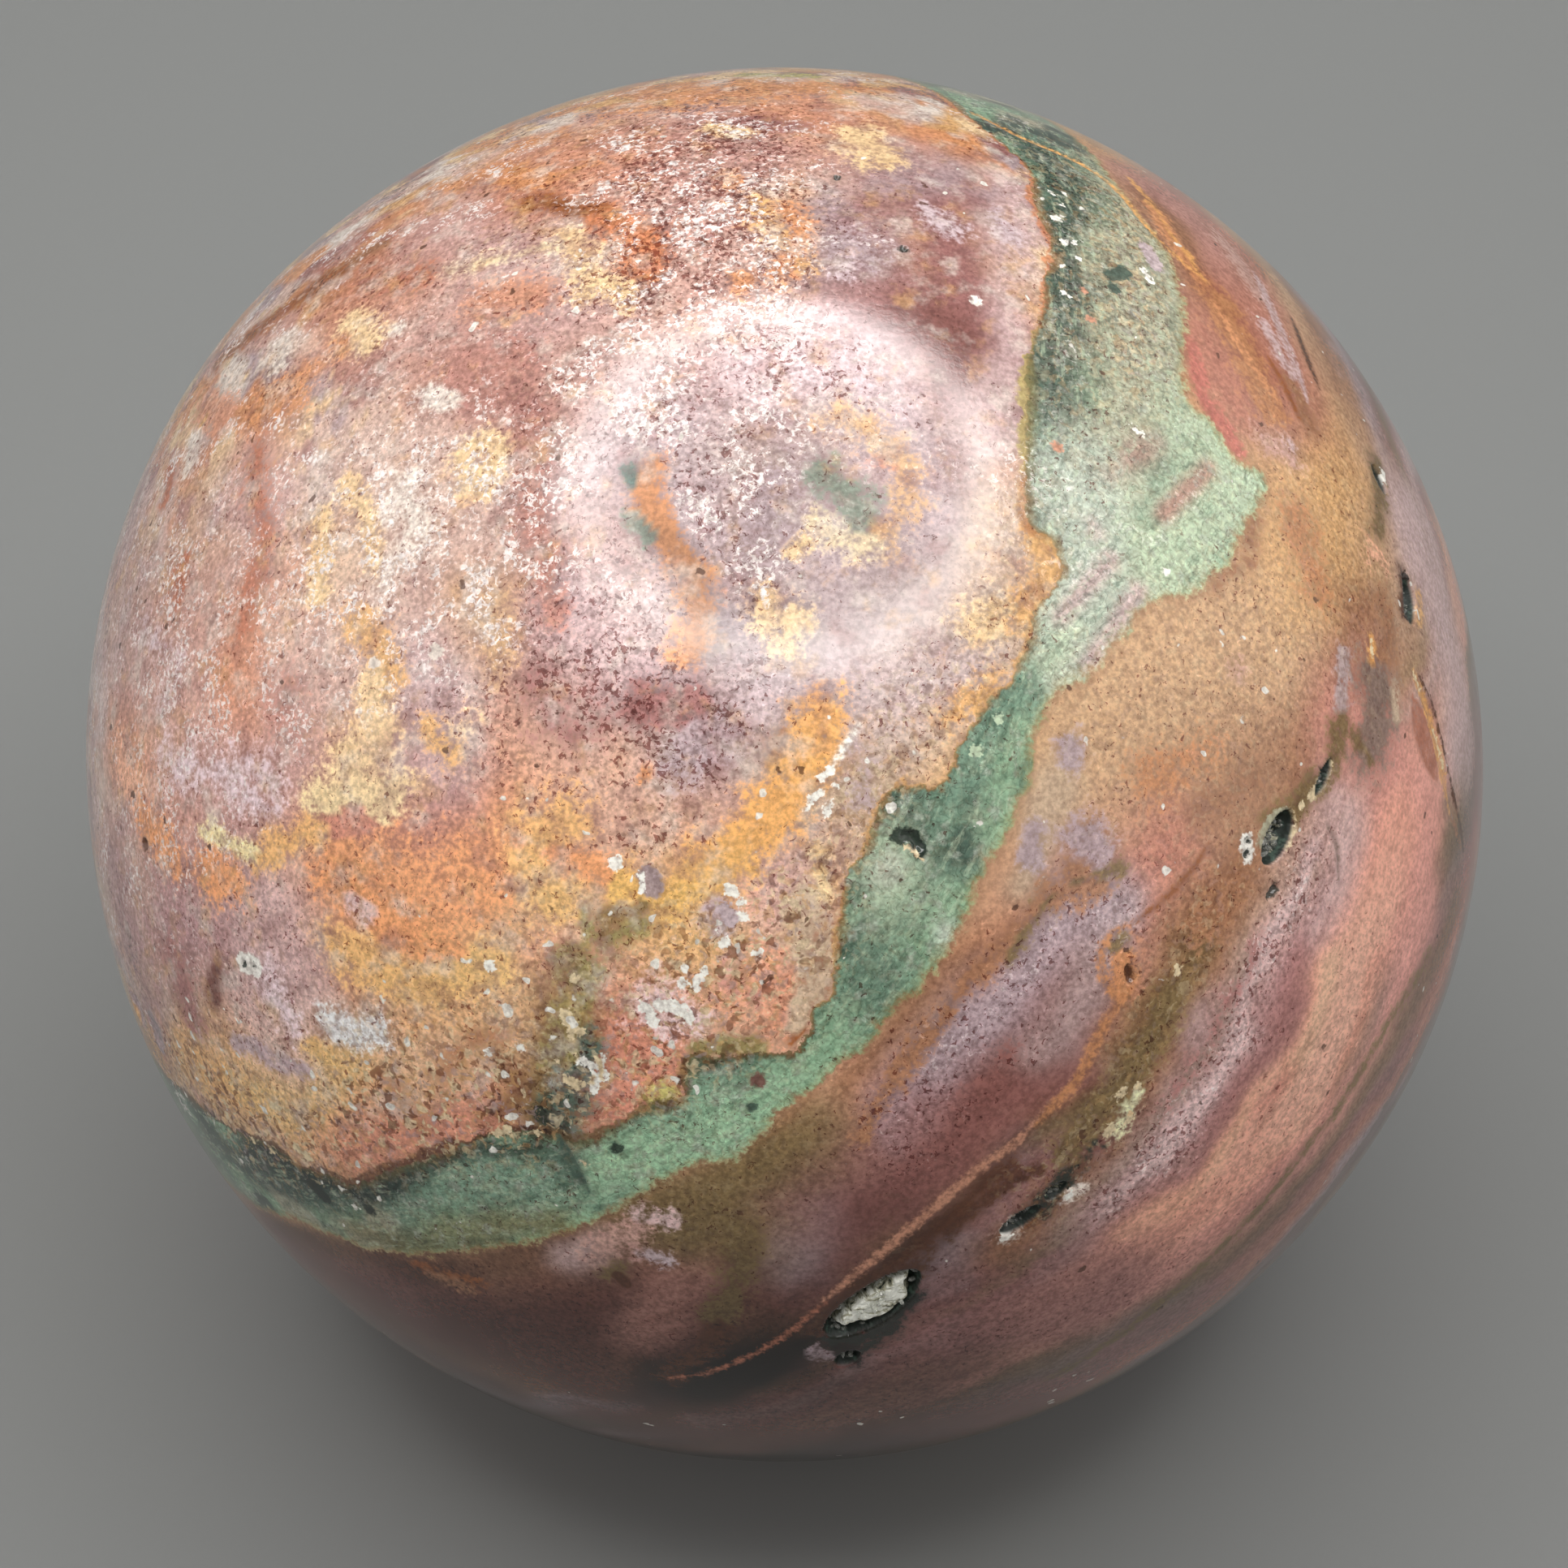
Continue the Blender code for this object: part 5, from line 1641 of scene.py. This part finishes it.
@dataclass(frozen=True)
class PolishedJasper:
    """The stone's polished skin: the colours laid on it, and the grain between them."""

    polish: float = 0.09
    vug_roughness: float = 0.4

    def material(self) -> bpy.types.Material:
        """Makes the finish.

        Returns:
            The material.
        """
        material, graph, shader = new_material("polished_jasper")
        place = graph.scaled(graph.node("ShaderNodeTexCoord")["Object"], 1.0 / MM)
        swirl = graph.vector("SUBTRACT", graph.noise(place, 1.3, 1.0)["Color"], (0.5, 0.5, 0.5))
        bent = graph.vector("ADD", place, graph.scaled(swirl, 0.8))
        ragged = graph.noise(place, 1.1, 4.0, 0.65)["Fac"] - 0.5
        fine = graph.noise(place, 3.4, 2.0, 0.6)["Fac"] - 0.5
        grain = graph.attribute("grain")
        amounts = graph.split(grain["Color"])
        layered = grain["Alpha"]
        colour = self.ground(graph, ragged, fine)
        colour = self.islands(graph, place, colour, 1.0 - layered)
        colour = self.streaks(graph, colour, graph.attribute("streak")["Fac"])
        colour = self.ribbon(graph, place, bent, colour, ragged, fine)
        colour = self.granules(graph, bent, colour, amounts["Blue"])
        colour = self.grains(graph, place, colour, amounts)
        colour = self.marks(graph, colour, ragged, fine)
        colour = self.crumbs(graph, bent, colour, graph.attribute("crumbs")["Fac"], fine)
        hollow = graph.attribute("hollow")["Fac"]
        colour = self.vugs(graph, place, colour, hollow)
        grit = graph.rise(fine + ragged * 0.5, -0.28, 0.28)
        colour = graph.mix(amounts["Red"] * 0.55 + 0.4, colour, graph.mix(grit, (0.44, 0.39, 0.38, 1.0), (1.5, 1.53, 1.54, 1.0)), "MULTIPLY")
        self.set_shader(graph, shader, place, colour, hollow, fine)
        return material

    def ground(self, graph: Graph, ragged: Socket, fine: Socket) -> Socket:
        """Lays the ragged patches over the ground colour."""
        patch = graph.attribute("patch")
        cover = graph.rise(patch["Alpha"] + ragged * 1.2 + fine * 0.9, 0.28, 0.78)
        return graph.mix(cover * 0.95, graph.attribute("ground")["Color"], patch["Color"])

    def islands(self, graph: Graph, place: Socket, colour: Socket, mottled: Socket) -> Socket:
        """Strews small ragged islands of other colours over the mottled stone."""
        parts = graph.split(graph.noise(place, 0.5, 4.0, 0.62)["Color"])
        kinds = (("Red", Pigment.FROST, 0.6), ("Green", Pigment.MAROON_ROSE, 0.6), ("Blue", Pigment.OCHRE, 0.64))
        for part, pigment, start in kinds:
            blot = graph.rise(parts[part], start - 0.1, start + 0.1)
            colour = graph.mix(blot * mottled * 0.5, colour, pigment.rgba)
        return colour

    def streaks(self, graph: Graph, colour: Socket, amount: Socket) -> Socket:
        """Draws the layers out into streaks."""
        layer = graph.attribute("layer")["Vector"]
        broad = graph.noise(graph.vector("MULTIPLY", layer, (0.75, 0.13, 0.13)), 1.0, 5.0, 0.65)["Fac"]
        dark = graph.rise(broad, 0.5, 0.68) * 0.6
        light = graph.rise(broad, 0.48, 0.33) * 0.6
        colour = graph.mix(dark * amount, colour, (0.56, 0.43, 0.4, 1.0), "MULTIPLY")
        return graph.mix(light * amount, colour, (1.3, 1.32, 1.36, 1.0), "MULTIPLY")

    def granules(self, graph: Graph, bent: Socket, colour: Socket, amount: Socket) -> Socket:
        """Breaks the ground up into granules of several colours, as in sandstone."""
        parts = graph.split(graph.noise(bent, 1.75, 2.0, 0.55)["Color"])
        dark = graph.rise(parts["Red"], 0.55, 0.62) * amount
        cream = graph.rise(parts["Green"], 0.57, 0.63) * amount
        grey = graph.rise(parts["Green"], 0.42, 0.36) * amount
        ochre = graph.rise(parts["Blue"], 0.55, 0.62) * amount
        colour = graph.mix(ochre * 0.6, colour, Pigment.OCHRE.rgba)
        colour = graph.mix(grey * 0.5, colour, Pigment.LILAC_GREY.rgba)
        colour = graph.mix(cream * 0.75, colour, Pigment.CREAM.rgba)
        return graph.mix(dark * 0.9, colour, (0.33, 0.22, 0.18, 1.0), "MULTIPLY")

    def grains(self, graph: Graph, place: Socket, colour: Socket, amounts: Made) -> Socket:
        """Works in the fine grain: white lace, and dark specks and commas over it."""
        parts = graph.split(graph.noise(place, 3.1, 3.0, 0.66, 0.6)["Color"])
        clusters = graph.split(graph.noise(place, 0.45, 3.0, 0.6)["Color"])
        frost = amounts["Green"] * (graph.rise(clusters["Red"], 0.36, 0.6) * 0.75 + 0.35)
        pepper = amounts["Red"] * (graph.rise(clusters["Green"], 0.36, 0.6) * 0.65 + 0.5)
        start = 0.64 - frost * 0.17
        lace = graph.rise(parts["Green"], start, start + 0.09) * graph.rise(frost, 0.02, 0.2)
        glow = graph.mix(1.0, colour, (1.35, 1.38, 1.4, 1.0), "MULTIPLY")
        colour = graph.mix(lace * 0.8, colour, glow)
        bright = graph.rise(frost, 0.25, 0.95) * 0.95
        colour = graph.mix(lace * bright, colour, (0.84, 0.76, 0.73, 1.0))
        warm = graph.rise(parts["Blue"], 0.56, 0.68) * frost * 0.35
        colour = graph.mix(warm, colour, (1.15, 0.88, 0.72, 1.0), "MULTIPLY")
        start = 0.67 - pepper * 0.16
        speck = graph.rise(parts["Red"], start, start + 0.035) * graph.rise(pepper, 0.0, 0.25)
        return graph.mix(speck * 0.9, colour, (0.36, 0.2, 0.19, 1.0), "MULTIPLY")

    def ribbon(self, graph: Graph, place: Socket, bent: Socket, colour: Socket, ragged: Socket,
               fine: Socket) -> Socket:
        """Lets in the green ribbon with its orange and olive rims.

        Args:
            graph: the material's tree.
            place: where a point of the skin is, in millimetres.
            bent: the same, swirled.
            colour: the colour so far.
            ragged: unevenness about 0, a millimetre wide.
            fine: the same, finer.

        Returns:
            The new colour.
        """
        upper = graph.attribute("edge_upper")["Fac"] + ragged * 1.3 + fine * 0.35
        lower = graph.attribute("edge_lower")["Fac"] + ragged * 1.8 + fine * 0.7
        width = graph.rise(graph.noise(place, 0.22, 3.0, 0.7)["Fac"], 0.36, 0.64)
        green = graph.attribute("ribbon")["Color"]
        layer = graph.attribute("layer")["Vector"]
        fibres = graph.noise(graph.vector("MULTIPLY", layer, (2.3, 0.6, 0.6)), 1.0, 4.0, 0.65)["Fac"]
        curl = graph.math("ABSOLUTE", graph.noise(bent, 1.7, 1.0, 0.5)["Fac"] - 0.5)
        green = graph.mix(graph.rise(ragged, 0.0, 0.22) * 0.7, green, (0.5, 0.56, 0.55, 1.0), "MULTIPLY")
        green = graph.mix(graph.rise(ragged, -0.02, -0.18) * 0.6, green, Pigment.PALE_MINT.rgba)
        green = graph.mix(graph.rise(fibres, 0.52, 0.66) * 0.6, green, (0.46, 0.51, 0.49, 1.0), "MULTIPLY")
        green = graph.mix(graph.rise(fibres, 0.46, 0.36) * 0.4, green, Pigment.MINT.rgba)
        green = graph.mix(graph.rise(curl, 0.05, 0.0) * 0.5, green, (0.4, 0.45, 0.42, 1.0), "MULTIPLY")
        rim = graph.attribute("rim")["Color"]
        outer = graph.rise(upper, width * -0.6 - 0.05, width * -0.3) * graph.rise(lower, -0.1, 0.1)
        colour = graph.mix(outer * 0.85, colour, rim)
        lower_rim = graph.rise(lower, width * -0.7 - 0.1, 0.0) * graph.rise(upper, -0.1, 0.1)
        colour = graph.mix(lower_rim * 0.35, colour, Pigment.BROWN.rgba)
        inside = graph.rise(upper, -0.06, 0.12) * graph.rise(lower, -0.2, 0.3)
        edged = graph.rise(upper, width * 0.7 + 0.25, 0.05) * 0.85
        green = graph.mix(edged, green, graph.mix(0.55, Pigment.OLIVE.rgba, graph.mix(1.0, rim, (0.5, 0.5, 0.5, 1.0), "MULTIPLY")))
        green = graph.mix(graph.rise(lower, 0.7, 0.1) * 0.35, green, Pigment.OLIVE_YELLOW.rgba)
        return graph.mix(inside, colour, green)

    def marks(self, graph: Graph, colour: Socket, ragged: Socket, fine: Socket) -> Socket:
        """Draws the veins, then the spots, and the flecks on top of them."""
        kinds = (("vein", 0.5, 0.6, 0.2, 0.95), ("mark", 0.45, 0.6, 0.1, 0.92), ("fleck", 0.3, 0.8, 0.06, 0.95))
        for name, broad, small, softness, strength in kinds:
            mark = graph.attribute(name)
            edge = mark["Alpha"] + ragged * broad + fine * small
            cover = graph.rise(edge, -softness, softness) * strength
            if name == "vein":
                cover = cover * (graph.rise(fine - ragged * 0.8, -0.22, 0.1) * 0.5 + 0.5)
            colour = graph.mix(cover, colour, mark["Color"])
        return colour

    def crumbs(self, graph: Graph, bent: Socket, colour: Socket, amount: Socket, fine: Socket) -> Socket:
        """Strews crumbs of cream quartz and dark pits, some more and some less in places."""
        cell = graph.cells(bent, 0.95)
        chance = graph.split(cell["Color"])
        size = graph.rise(chance["Red"] + amount * 0.8, 0.9, 1.65) * 0.27
        crumb = graph.rise(cell["Distance"] + fine * 0.3, size + 0.03, size - 0.03) * graph.rise(size, 0.02, 0.06)
        colour = graph.mix(crumb * 0.9, colour, Pigment.QUARTZ_WHITE.rgba)
        pits = graph.cells(bent, 0.62)
        deep = graph.rise(graph.split(pits["Color"])["Green"], 0.7, 1.0) * 0.13
        pit = graph.rise(pits["Distance"] + fine * 0.15, deep + 0.02, deep - 0.02) * graph.rise(deep, 0.02, 0.05)
        return graph.mix(pit * 0.8, colour, Pigment.DARK_BROWN.rgba)

    def vugs(self, graph: Graph, place: Socket, colour: Socket, hollow: Socket) -> Socket:
        """Paints shade into the vugs, darker the deeper they go, and gives their walls a dark green crust."""
        crust = graph.rise(graph.noise(place, 2.2, 3.0, 0.6)["Fac"], 0.5, 0.65)
        wall = graph.mix(crust, Pigment.BOTTLE_BLACK.rgba, Pigment.DEEP_TEAL.rgba)
        # Painted shade: the deeper in a vug, the more the dark wall colour covers the stone.
        return graph.mix(graph.rise(hollow, 0.02, 0.3), colour, wall)

    def set_shader(self, graph: Graph, shader: bpy.types.Node, place: Socket, colour: Socket,
                   hollow: Socket, fine: Socket) -> None:
        """Joins the colour, the polish and the fine unevenness to the shader.

        Args:
            graph: the material's tree.
            shader: its Principled shader.
            place: where a point of the skin is, in millimetres.
            colour: the finished colour.
            hollow: how deep in a vug it is.
            fine: fine unevenness about 0.
        """
        smears = graph.noise(place, 0.5, 3.0, 0.6)["Fac"]
        rough = self.polish + graph.rise(smears, 0.4, 0.7) * 0.06 + graph.rise(hollow, 0.0, 0.2) * self.vug_roughness
        graph.tree.links.new(colour.source, shader.inputs["Base Color"])
        graph.tree.links.new(rough.source, shader.inputs["Roughness"])
        shader.inputs["IOR"].default_value = 1.54
        bump = graph.node("ShaderNodeBump", None, {"Height": fine, "Strength": 0.3, "Distance": 0.00002})
        graph.tree.links.new(bump["Normal"].source, shader.inputs["Normal"])


@dataclass(frozen=True)
class QuartzCrust:
    """Cream quartz with dark green where it is thin."""

    roughness: float = 0.28

    def material(self) -> bpy.types.Material:
        """Makes the finish."""
        material, graph, shader = new_material("quartz_crust")
        place = graph.scaled(graph.node("ShaderNodeTexCoord")["Object"], 1.0 / MM)
        cloud = graph.noise(graph.vector("MULTIPLY", place, (0.95, 1.1, 2.2)), 1.0, 4.0, 0.72, 0.9)["Fac"] - 0.5
        white = graph.attribute("white")["Fac"] + cloud * 4.2
        colour = graph.mix(graph.rise(white, 0.15, 0.55), Pigment.BOTTLE_BLACK.rgba, Pigment.SAGE.rgba)
        colour = graph.mix(graph.rise(white, 0.55, 0.95), colour, (0.93, 0.93, 0.84, 1.0))
        graph.tree.links.new(colour.source, shader.inputs["Base Color"])
        shader.inputs["Roughness"].default_value = self.roughness
        shader.inputs["IOR"].default_value = 1.544
        bump = graph.node("ShaderNodeBump", None, {"Height": cloud, "Strength": 0.5, "Distance": 0.0001})
        graph.tree.links.new(bump["Normal"].source, shader.inputs["Normal"])
        return material


@dataclass(frozen=True)
class ClearQuartz:
    """Clear quartz, a little milky."""

    tint: tuple[float, float, float, float] = (0.93, 0.94, 0.88, 1.0)
    roughness: float = 0.06
    clearness: float = 0.8

    def material(self) -> bpy.types.Material:
        """Makes the finish."""
        material, _graph, shader = new_material("clear_quartz")
        shader.inputs["Base Color"].default_value = self.tint
        shader.inputs["Roughness"].default_value = self.roughness
        shader.inputs["IOR"].default_value = 1.544
        shader.inputs["Transmission Weight"].default_value = self.clearness
        return material


def lay_attribute(mesh: bpy.types.Mesh, name: str, values: np.ndarray) -> None:
    """Stores values on a mesh's points, as numbers, vectors, or colours with a fourth value."""
    parts = 1 if values.ndim == 1 else values.shape[1]
    if parts == 3 and name != "layer":
        values = np.column_stack((values, np.ones(len(values))))
        parts = 4
    kind, field = {1: ("FLOAT", "value"), 3: ("FLOAT_VECTOR", "vector"), 4: ("FLOAT_COLOR", "color")}[parts]
    attribute = mesh.attributes.new(name, kind, "POINT")
    attribute.data.foreach_set(field, values.astype(np.float32).ravel())


@dataclass(frozen=True)
class Ball:
    """The stone itself."""

    shape: BallMesh = BallMesh()

    def build(self) -> bpy.types.Object:
        """Builds the stone's skin and lays its colours on.

        Returns:
            The piece.
        """
        points, triangles = self.shape.build()
        mesh = bpy.data.meshes.new("jasper")
        mesh.from_pydata(self.shape.places(points), [], triangles)
        mesh.shade_smooth()
        for name, values in Painting(points).attributes().items():
            lay_attribute(mesh, name, values)
        lay_attribute(mesh, "hollow", self.shape.hollow(points) / MM)
        mesh.materials.append(PolishedJasper().material())
        ball = link_object("jasper", mesh)
        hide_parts("jasper_sphere")
        LOG.info("jasper: %d triangles", len(triangles))
        return ball


# The outline of the crystal lens in the largest vug, the long way and the short way in its half sizes.
LENS_UPPER_EDGE = ((-0.87, 0.2), (-0.08, 0.66), (0.61, 0.4), (0.92, 0.02))
LENS_LOWER_EDGE = ((-0.87, 0.2), (-0.49, -0.4), (-0.08, -0.92), (0.46, -0.84), (0.66, -0.25), (0.92, 0.02))


@dataclass(frozen=True)
class Druse:
    """The quartz in the vugs: a crust on their walls, with small crystals standing on it."""

    rings: int = 24
    spokes: int = 64
    reach: float = 0.97  # of a vug's own size
    lift: float = 0.05 * MM
    thickness: float = 0.2 * MM
    lens_top: float = 0.1 * MM  # below the polished skin
    lens_slope: float = 0.2  # how far in from its outline it is full, in the vug's half sizes
    lens_roughness: float = 0.1
    crystal_width: float = 0.3 * MM
    crystals_a_mm2: float = 5.0
    seed: int = 4

    def crust_disc(self, vug: Vug) -> tuple[np.ndarray, np.ndarray, np.ndarray, np.ndarray]:
        """Lays out one crust's points over its vug.

        Args:
            vug: the vug.

        Returns:
            Two shares of the vug's half sizes for each point from the middle out, how deep each point's
            wall is, how white its quartz is, and how thickly crystals stand there.
        """
        share = np.arange(1, self.rings + 1) / self.rings * self.reach
        turn = np.arange(self.spokes) / self.spokes * 2.0 * math.pi
        across = np.concatenate(([0.0], np.outer(share, np.cos(turn)).ravel()))
        upward = np.concatenate(([0.0], np.outer(share, np.sin(turn)).ravel()))
        far = np.hypot(across, upward)
        depth = vug.depth * np.sqrt(1.0 - far**2)
        white = np.full(len(far), 0.12)
        standing = np.where(far < 0.8 * self.reach, 1.0, 0.0)
        if vug is VUGS[0]:
            inside = self.lens(across, upward)
            mound = smooth(inside, 0.0, self.lens_slope)
            depth += mound * (self.lens_top - depth)
            white = 0.1 + (0.86 - 0.34 * smooth(-upward, 0.0, 0.7)) * mound
            standing = np.where(inside < -0.15, 1.0, np.where(inside > 0.2, 0.15, 0.0))
        return np.stack((across, upward), axis=-1), depth, white, standing

    def lens(self, across: np.ndarray, upward: np.ndarray) -> np.ndarray:
        """Gives how far inside the crystal lens of the largest vug places are.

        Args:
            across: where they are the long way across the vug, in its half sizes.
            upward: the same the short way.

        Returns:
            The distance in from the lens's outline in half sizes, less than 0 outside it.
        """
        upper = np.interp(across, *zip(*LENS_UPPER_EDGE))
        lower = np.interp(across, *zip(*LENS_LOWER_EDGE))
        ends = np.minimum(across - LENS_UPPER_EDGE[0][0], LENS_UPPER_EDGE[-1][0] - across) * 2.0
        uneven = clouds(np.stack((across, upward * 0.5, 0.0 * across), axis=-1) * 0.08, 0.6, 5.0)
        return np.minimum(np.minimum(upper - upward, upward - lower), ends) + self.lens_roughness * uneven

    def crust(self, vug: Vug) -> tuple[np.ndarray, list, np.ndarray, np.ndarray]:
        """Builds the closed crust of one vug.

        Args:
            vug: the vug.

        Returns:
            Its points, its faces, and for each point how white its quartz is and how thickly crystals
            stand there.
        """
        disc, depth, white, standing = self.crust_disc(vug)
        along, across, out = vug.axes()
        radius = PHOTO.ball_radius
        direction = out + disc[:, :1] * along * (vug.length / 2 / radius) + disc[:, 1:] * across * (vug.width / 2 / radius)
        direction /= np.linalg.norm(direction, axis=1, keepdims=True)
        inner = 1.0 - (np.hypot(disc[:, 0], disc[:, 1]) / self.reach) ** 4
        rough = clouds(direction, 0.7, vug.azimuth) * 0.1 * MM + clouds(direction, 0.25, vug.latitude) * 0.06 * MM
        top = BallMesh().skin(direction) - depth + (self.lift + rough) * inner - (1.0 - inner) * self.lift
        bottom = top - self.thickness * inner - self.lift
        places = np.vstack((direction * top[:, None], direction[: -self.spokes] * bottom[: -self.spokes, None]))
        places[:, 2] += BallMesh().middle_height
        upper = np.arange(len(direction))
        lower = np.concatenate((len(direction) + np.arange(len(direction) - self.spokes), upper[-self.spokes:]))
        faces = []
        for level, flip in ((upper, False), (lower, True)):
            ring = level[1:].reshape(self.rings, self.spokes)
            after = np.roll(ring, -1, axis=1)
            fan = [(level[0], a, b) for a, b in zip(ring[0], after[0])]
            quads = np.stack((ring[:-1], ring[1:], after[1:], after[:-1]), axis=-1).reshape(-1, 4)
            for face in (*fan, *quads.tolist()):
                faces.append(tuple(reversed(face)) if flip else tuple(face))
        hidden = np.zeros(len(direction) - self.spokes)
        return places, faces, np.concatenate((white, hidden)), np.concatenate((standing, hidden))

    def crystal(self, graph: Graph) -> Socket:
        """Makes one crystal: a six-sided column with a point at each end, standing on the origin."""
        parts = []
        for low, high, base, length in ((0.0, 0.5, -0.3, 0.3), (0.5, 0.42, 0.0, 1.1), (0.42, 0.0, 1.1, 0.5)):
            cone = graph.node("GeometryNodeMeshCone", {"fill_type": "NONE"}, {
                "Vertices": 6, "Side Segments": 1, "Radius Top": high, "Radius Bottom": low, "Depth": length})
            moved = graph.node("GeometryNodeTransform", None, {"Geometry": cone["Mesh"], "Translation": (0.0, 0.0, base)})
            parts.append(moved["Geometry"])
        joined = graph.node("GeometryNodeJoinGeometry")
        for part in reversed(parts):
            graph.tree.links.new(part.source, joined.node.inputs["Geometry"])
        merged = graph.node("GeometryNodeMergeByDistance", None, {"Geometry": joined["Geometry"], "Distance": 0.01})
        return graph.node("GeometryNodeSetShadeSmooth", None, {"Geometry": merged["Geometry"], "Shade Smooth": False})["Geometry"]

    def scatter_tree(self, material: bpy.types.Material) -> bpy.types.NodeTree:
        """Makes the tree that stands crystals on a crust.

        Args:
            material: the crystals' finish.

        Returns:
            The tree, with the inputs "Density", "Width" and "Seed".
        """
        tree = bpy.data.node_groups.new("stand_crystals", "GeometryNodeTree")
        sockets = (("Geometry", "INPUT", "NodeSocketGeometry"), ("Density", "INPUT", "NodeSocketFloat"),
                   ("Width", "INPUT", "NodeSocketFloat"), ("Seed", "INPUT", "NodeSocketInt"),
                   ("Geometry", "OUTPUT", "NodeSocketGeometry"))
        for name, way, kind in sockets:
            tree.interface.new_socket(name, in_out=way, socket_type=kind)
        graph = Graph(tree)
        given = graph.node("NodeGroupInput")
        amount = graph.node("GeometryNodeInputNamedAttribute", {"data_type": "FLOAT"}, {"Name": "crystals"})["Attribute"]
        points = graph.node("GeometryNodeDistributePointsOnFaces", {"distribute_method": "RANDOM"}, {
            "Mesh": given["Geometry"], "Density": amount * given["Density"], "Seed": given["Seed"]})
        tilt = graph.node("FunctionNodeRandomValue", {"data_type": "FLOAT_VECTOR"}, {
            "Min": (-0.6, -0.6, -3.14), "Max": (0.6, 0.6, 3.14), "Seed": 11})["Value"]
        turned = graph.node("FunctionNodeRotateRotation", {"rotation_space": "LOCAL"}, {
            "Rotation": points["Rotation"], "Rotate By": tilt})["Rotation"]
        size = graph.node("FunctionNodeRandomValue", {"data_type": "FLOAT_VECTOR"}, {
            "Min": (0.5, 0.5, 0.4), "Max": (1.3, 1.3, 1.3), "Seed": 12})["Value"]
        placed = graph.node("GeometryNodeInstanceOnPoints", None, {
            "Points": points["Points"], "Instance": self.crystal(graph), "Rotation": turned,
            "Scale": graph.scaled(size, given["Width"])})
        real = graph.node("GeometryNodeRealizeInstances", None, {"Geometry": placed["Instances"]})
        done = graph.node("GeometryNodeSetMaterial", None, {"Geometry": real["Geometry"], "Material": material})
        output = tree.nodes.new("NodeGroupOutput")
        tree.links.new(done["Geometry"].source, output.inputs["Geometry"])
        return tree

    def stand_crystals(self, crust: bpy.types.Mesh) -> bpy.types.Object:
        """Stands clear crystals on the crust.

        Args:
            crust: the crust's mesh.

        Returns:
            The piece.
        """
        bed = link_object("crystal_bed", crust.copy())
        modifier = bed.modifiers.new("crystals", "NODES")
        modifier.node_group = self.scatter_tree(ClearQuartz().material())
        values = {"Density": self.crystals_a_mm2 / MM**2, "Width": self.crystal_width, "Seed": self.seed}
        for item in modifier.node_group.interface.items_tree:
            if item.in_out == "INPUT" and item.name in values:
                modifier[item.identifier] = values[item.name]
        made = bed.evaluated_get(bpy.context.evaluated_depsgraph_get())
        mesh = bpy.data.meshes.new_from_object(made)
        bpy.data.objects.remove(bed)
        return link_object("quartz_crystals", mesh)

    def build(self) -> list[bpy.types.Object]:
        """Builds the crust and its crystals.

        Returns:
            The two pieces.
        """
        places, faces, white, crystals = [], [], [], []
        start = 0
        for vug in VUGS:
            some_places, some_faces, some_white, standing = self.crust(vug)
            places.append(some_places)
            faces.extend(tuple(start + corner for corner in face) for face in some_faces)
            white.append(some_white)
            start += len(some_places)
            crystals.append(standing)
        mesh = bpy.data.meshes.new("quartz_crust")
        mesh.from_pydata(np.concatenate(places), [], faces)
        lay_attribute(mesh, "white", np.concatenate(white))
        lay_attribute(mesh, "crystals", np.concatenate(crystals))
        mesh.materials.append(QuartzCrust().material())
        pieces = [link_object("quartz_crust", mesh), self.stand_crystals(mesh)]
        for piece in pieces:
            LOG.info("%s: %d faces", piece.name, len(piece.data.polygons))
        return pieces


def main() -> None:
    """Builds the studio and the stone."""
    logging.basicConfig(level=logging.INFO, format="%(name)s: %(message)s")
    Studio().build()
    for piece in (Ball().build(), *Druse().build()):
        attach(piece, "root")


if __name__ == "__main__":
    main()
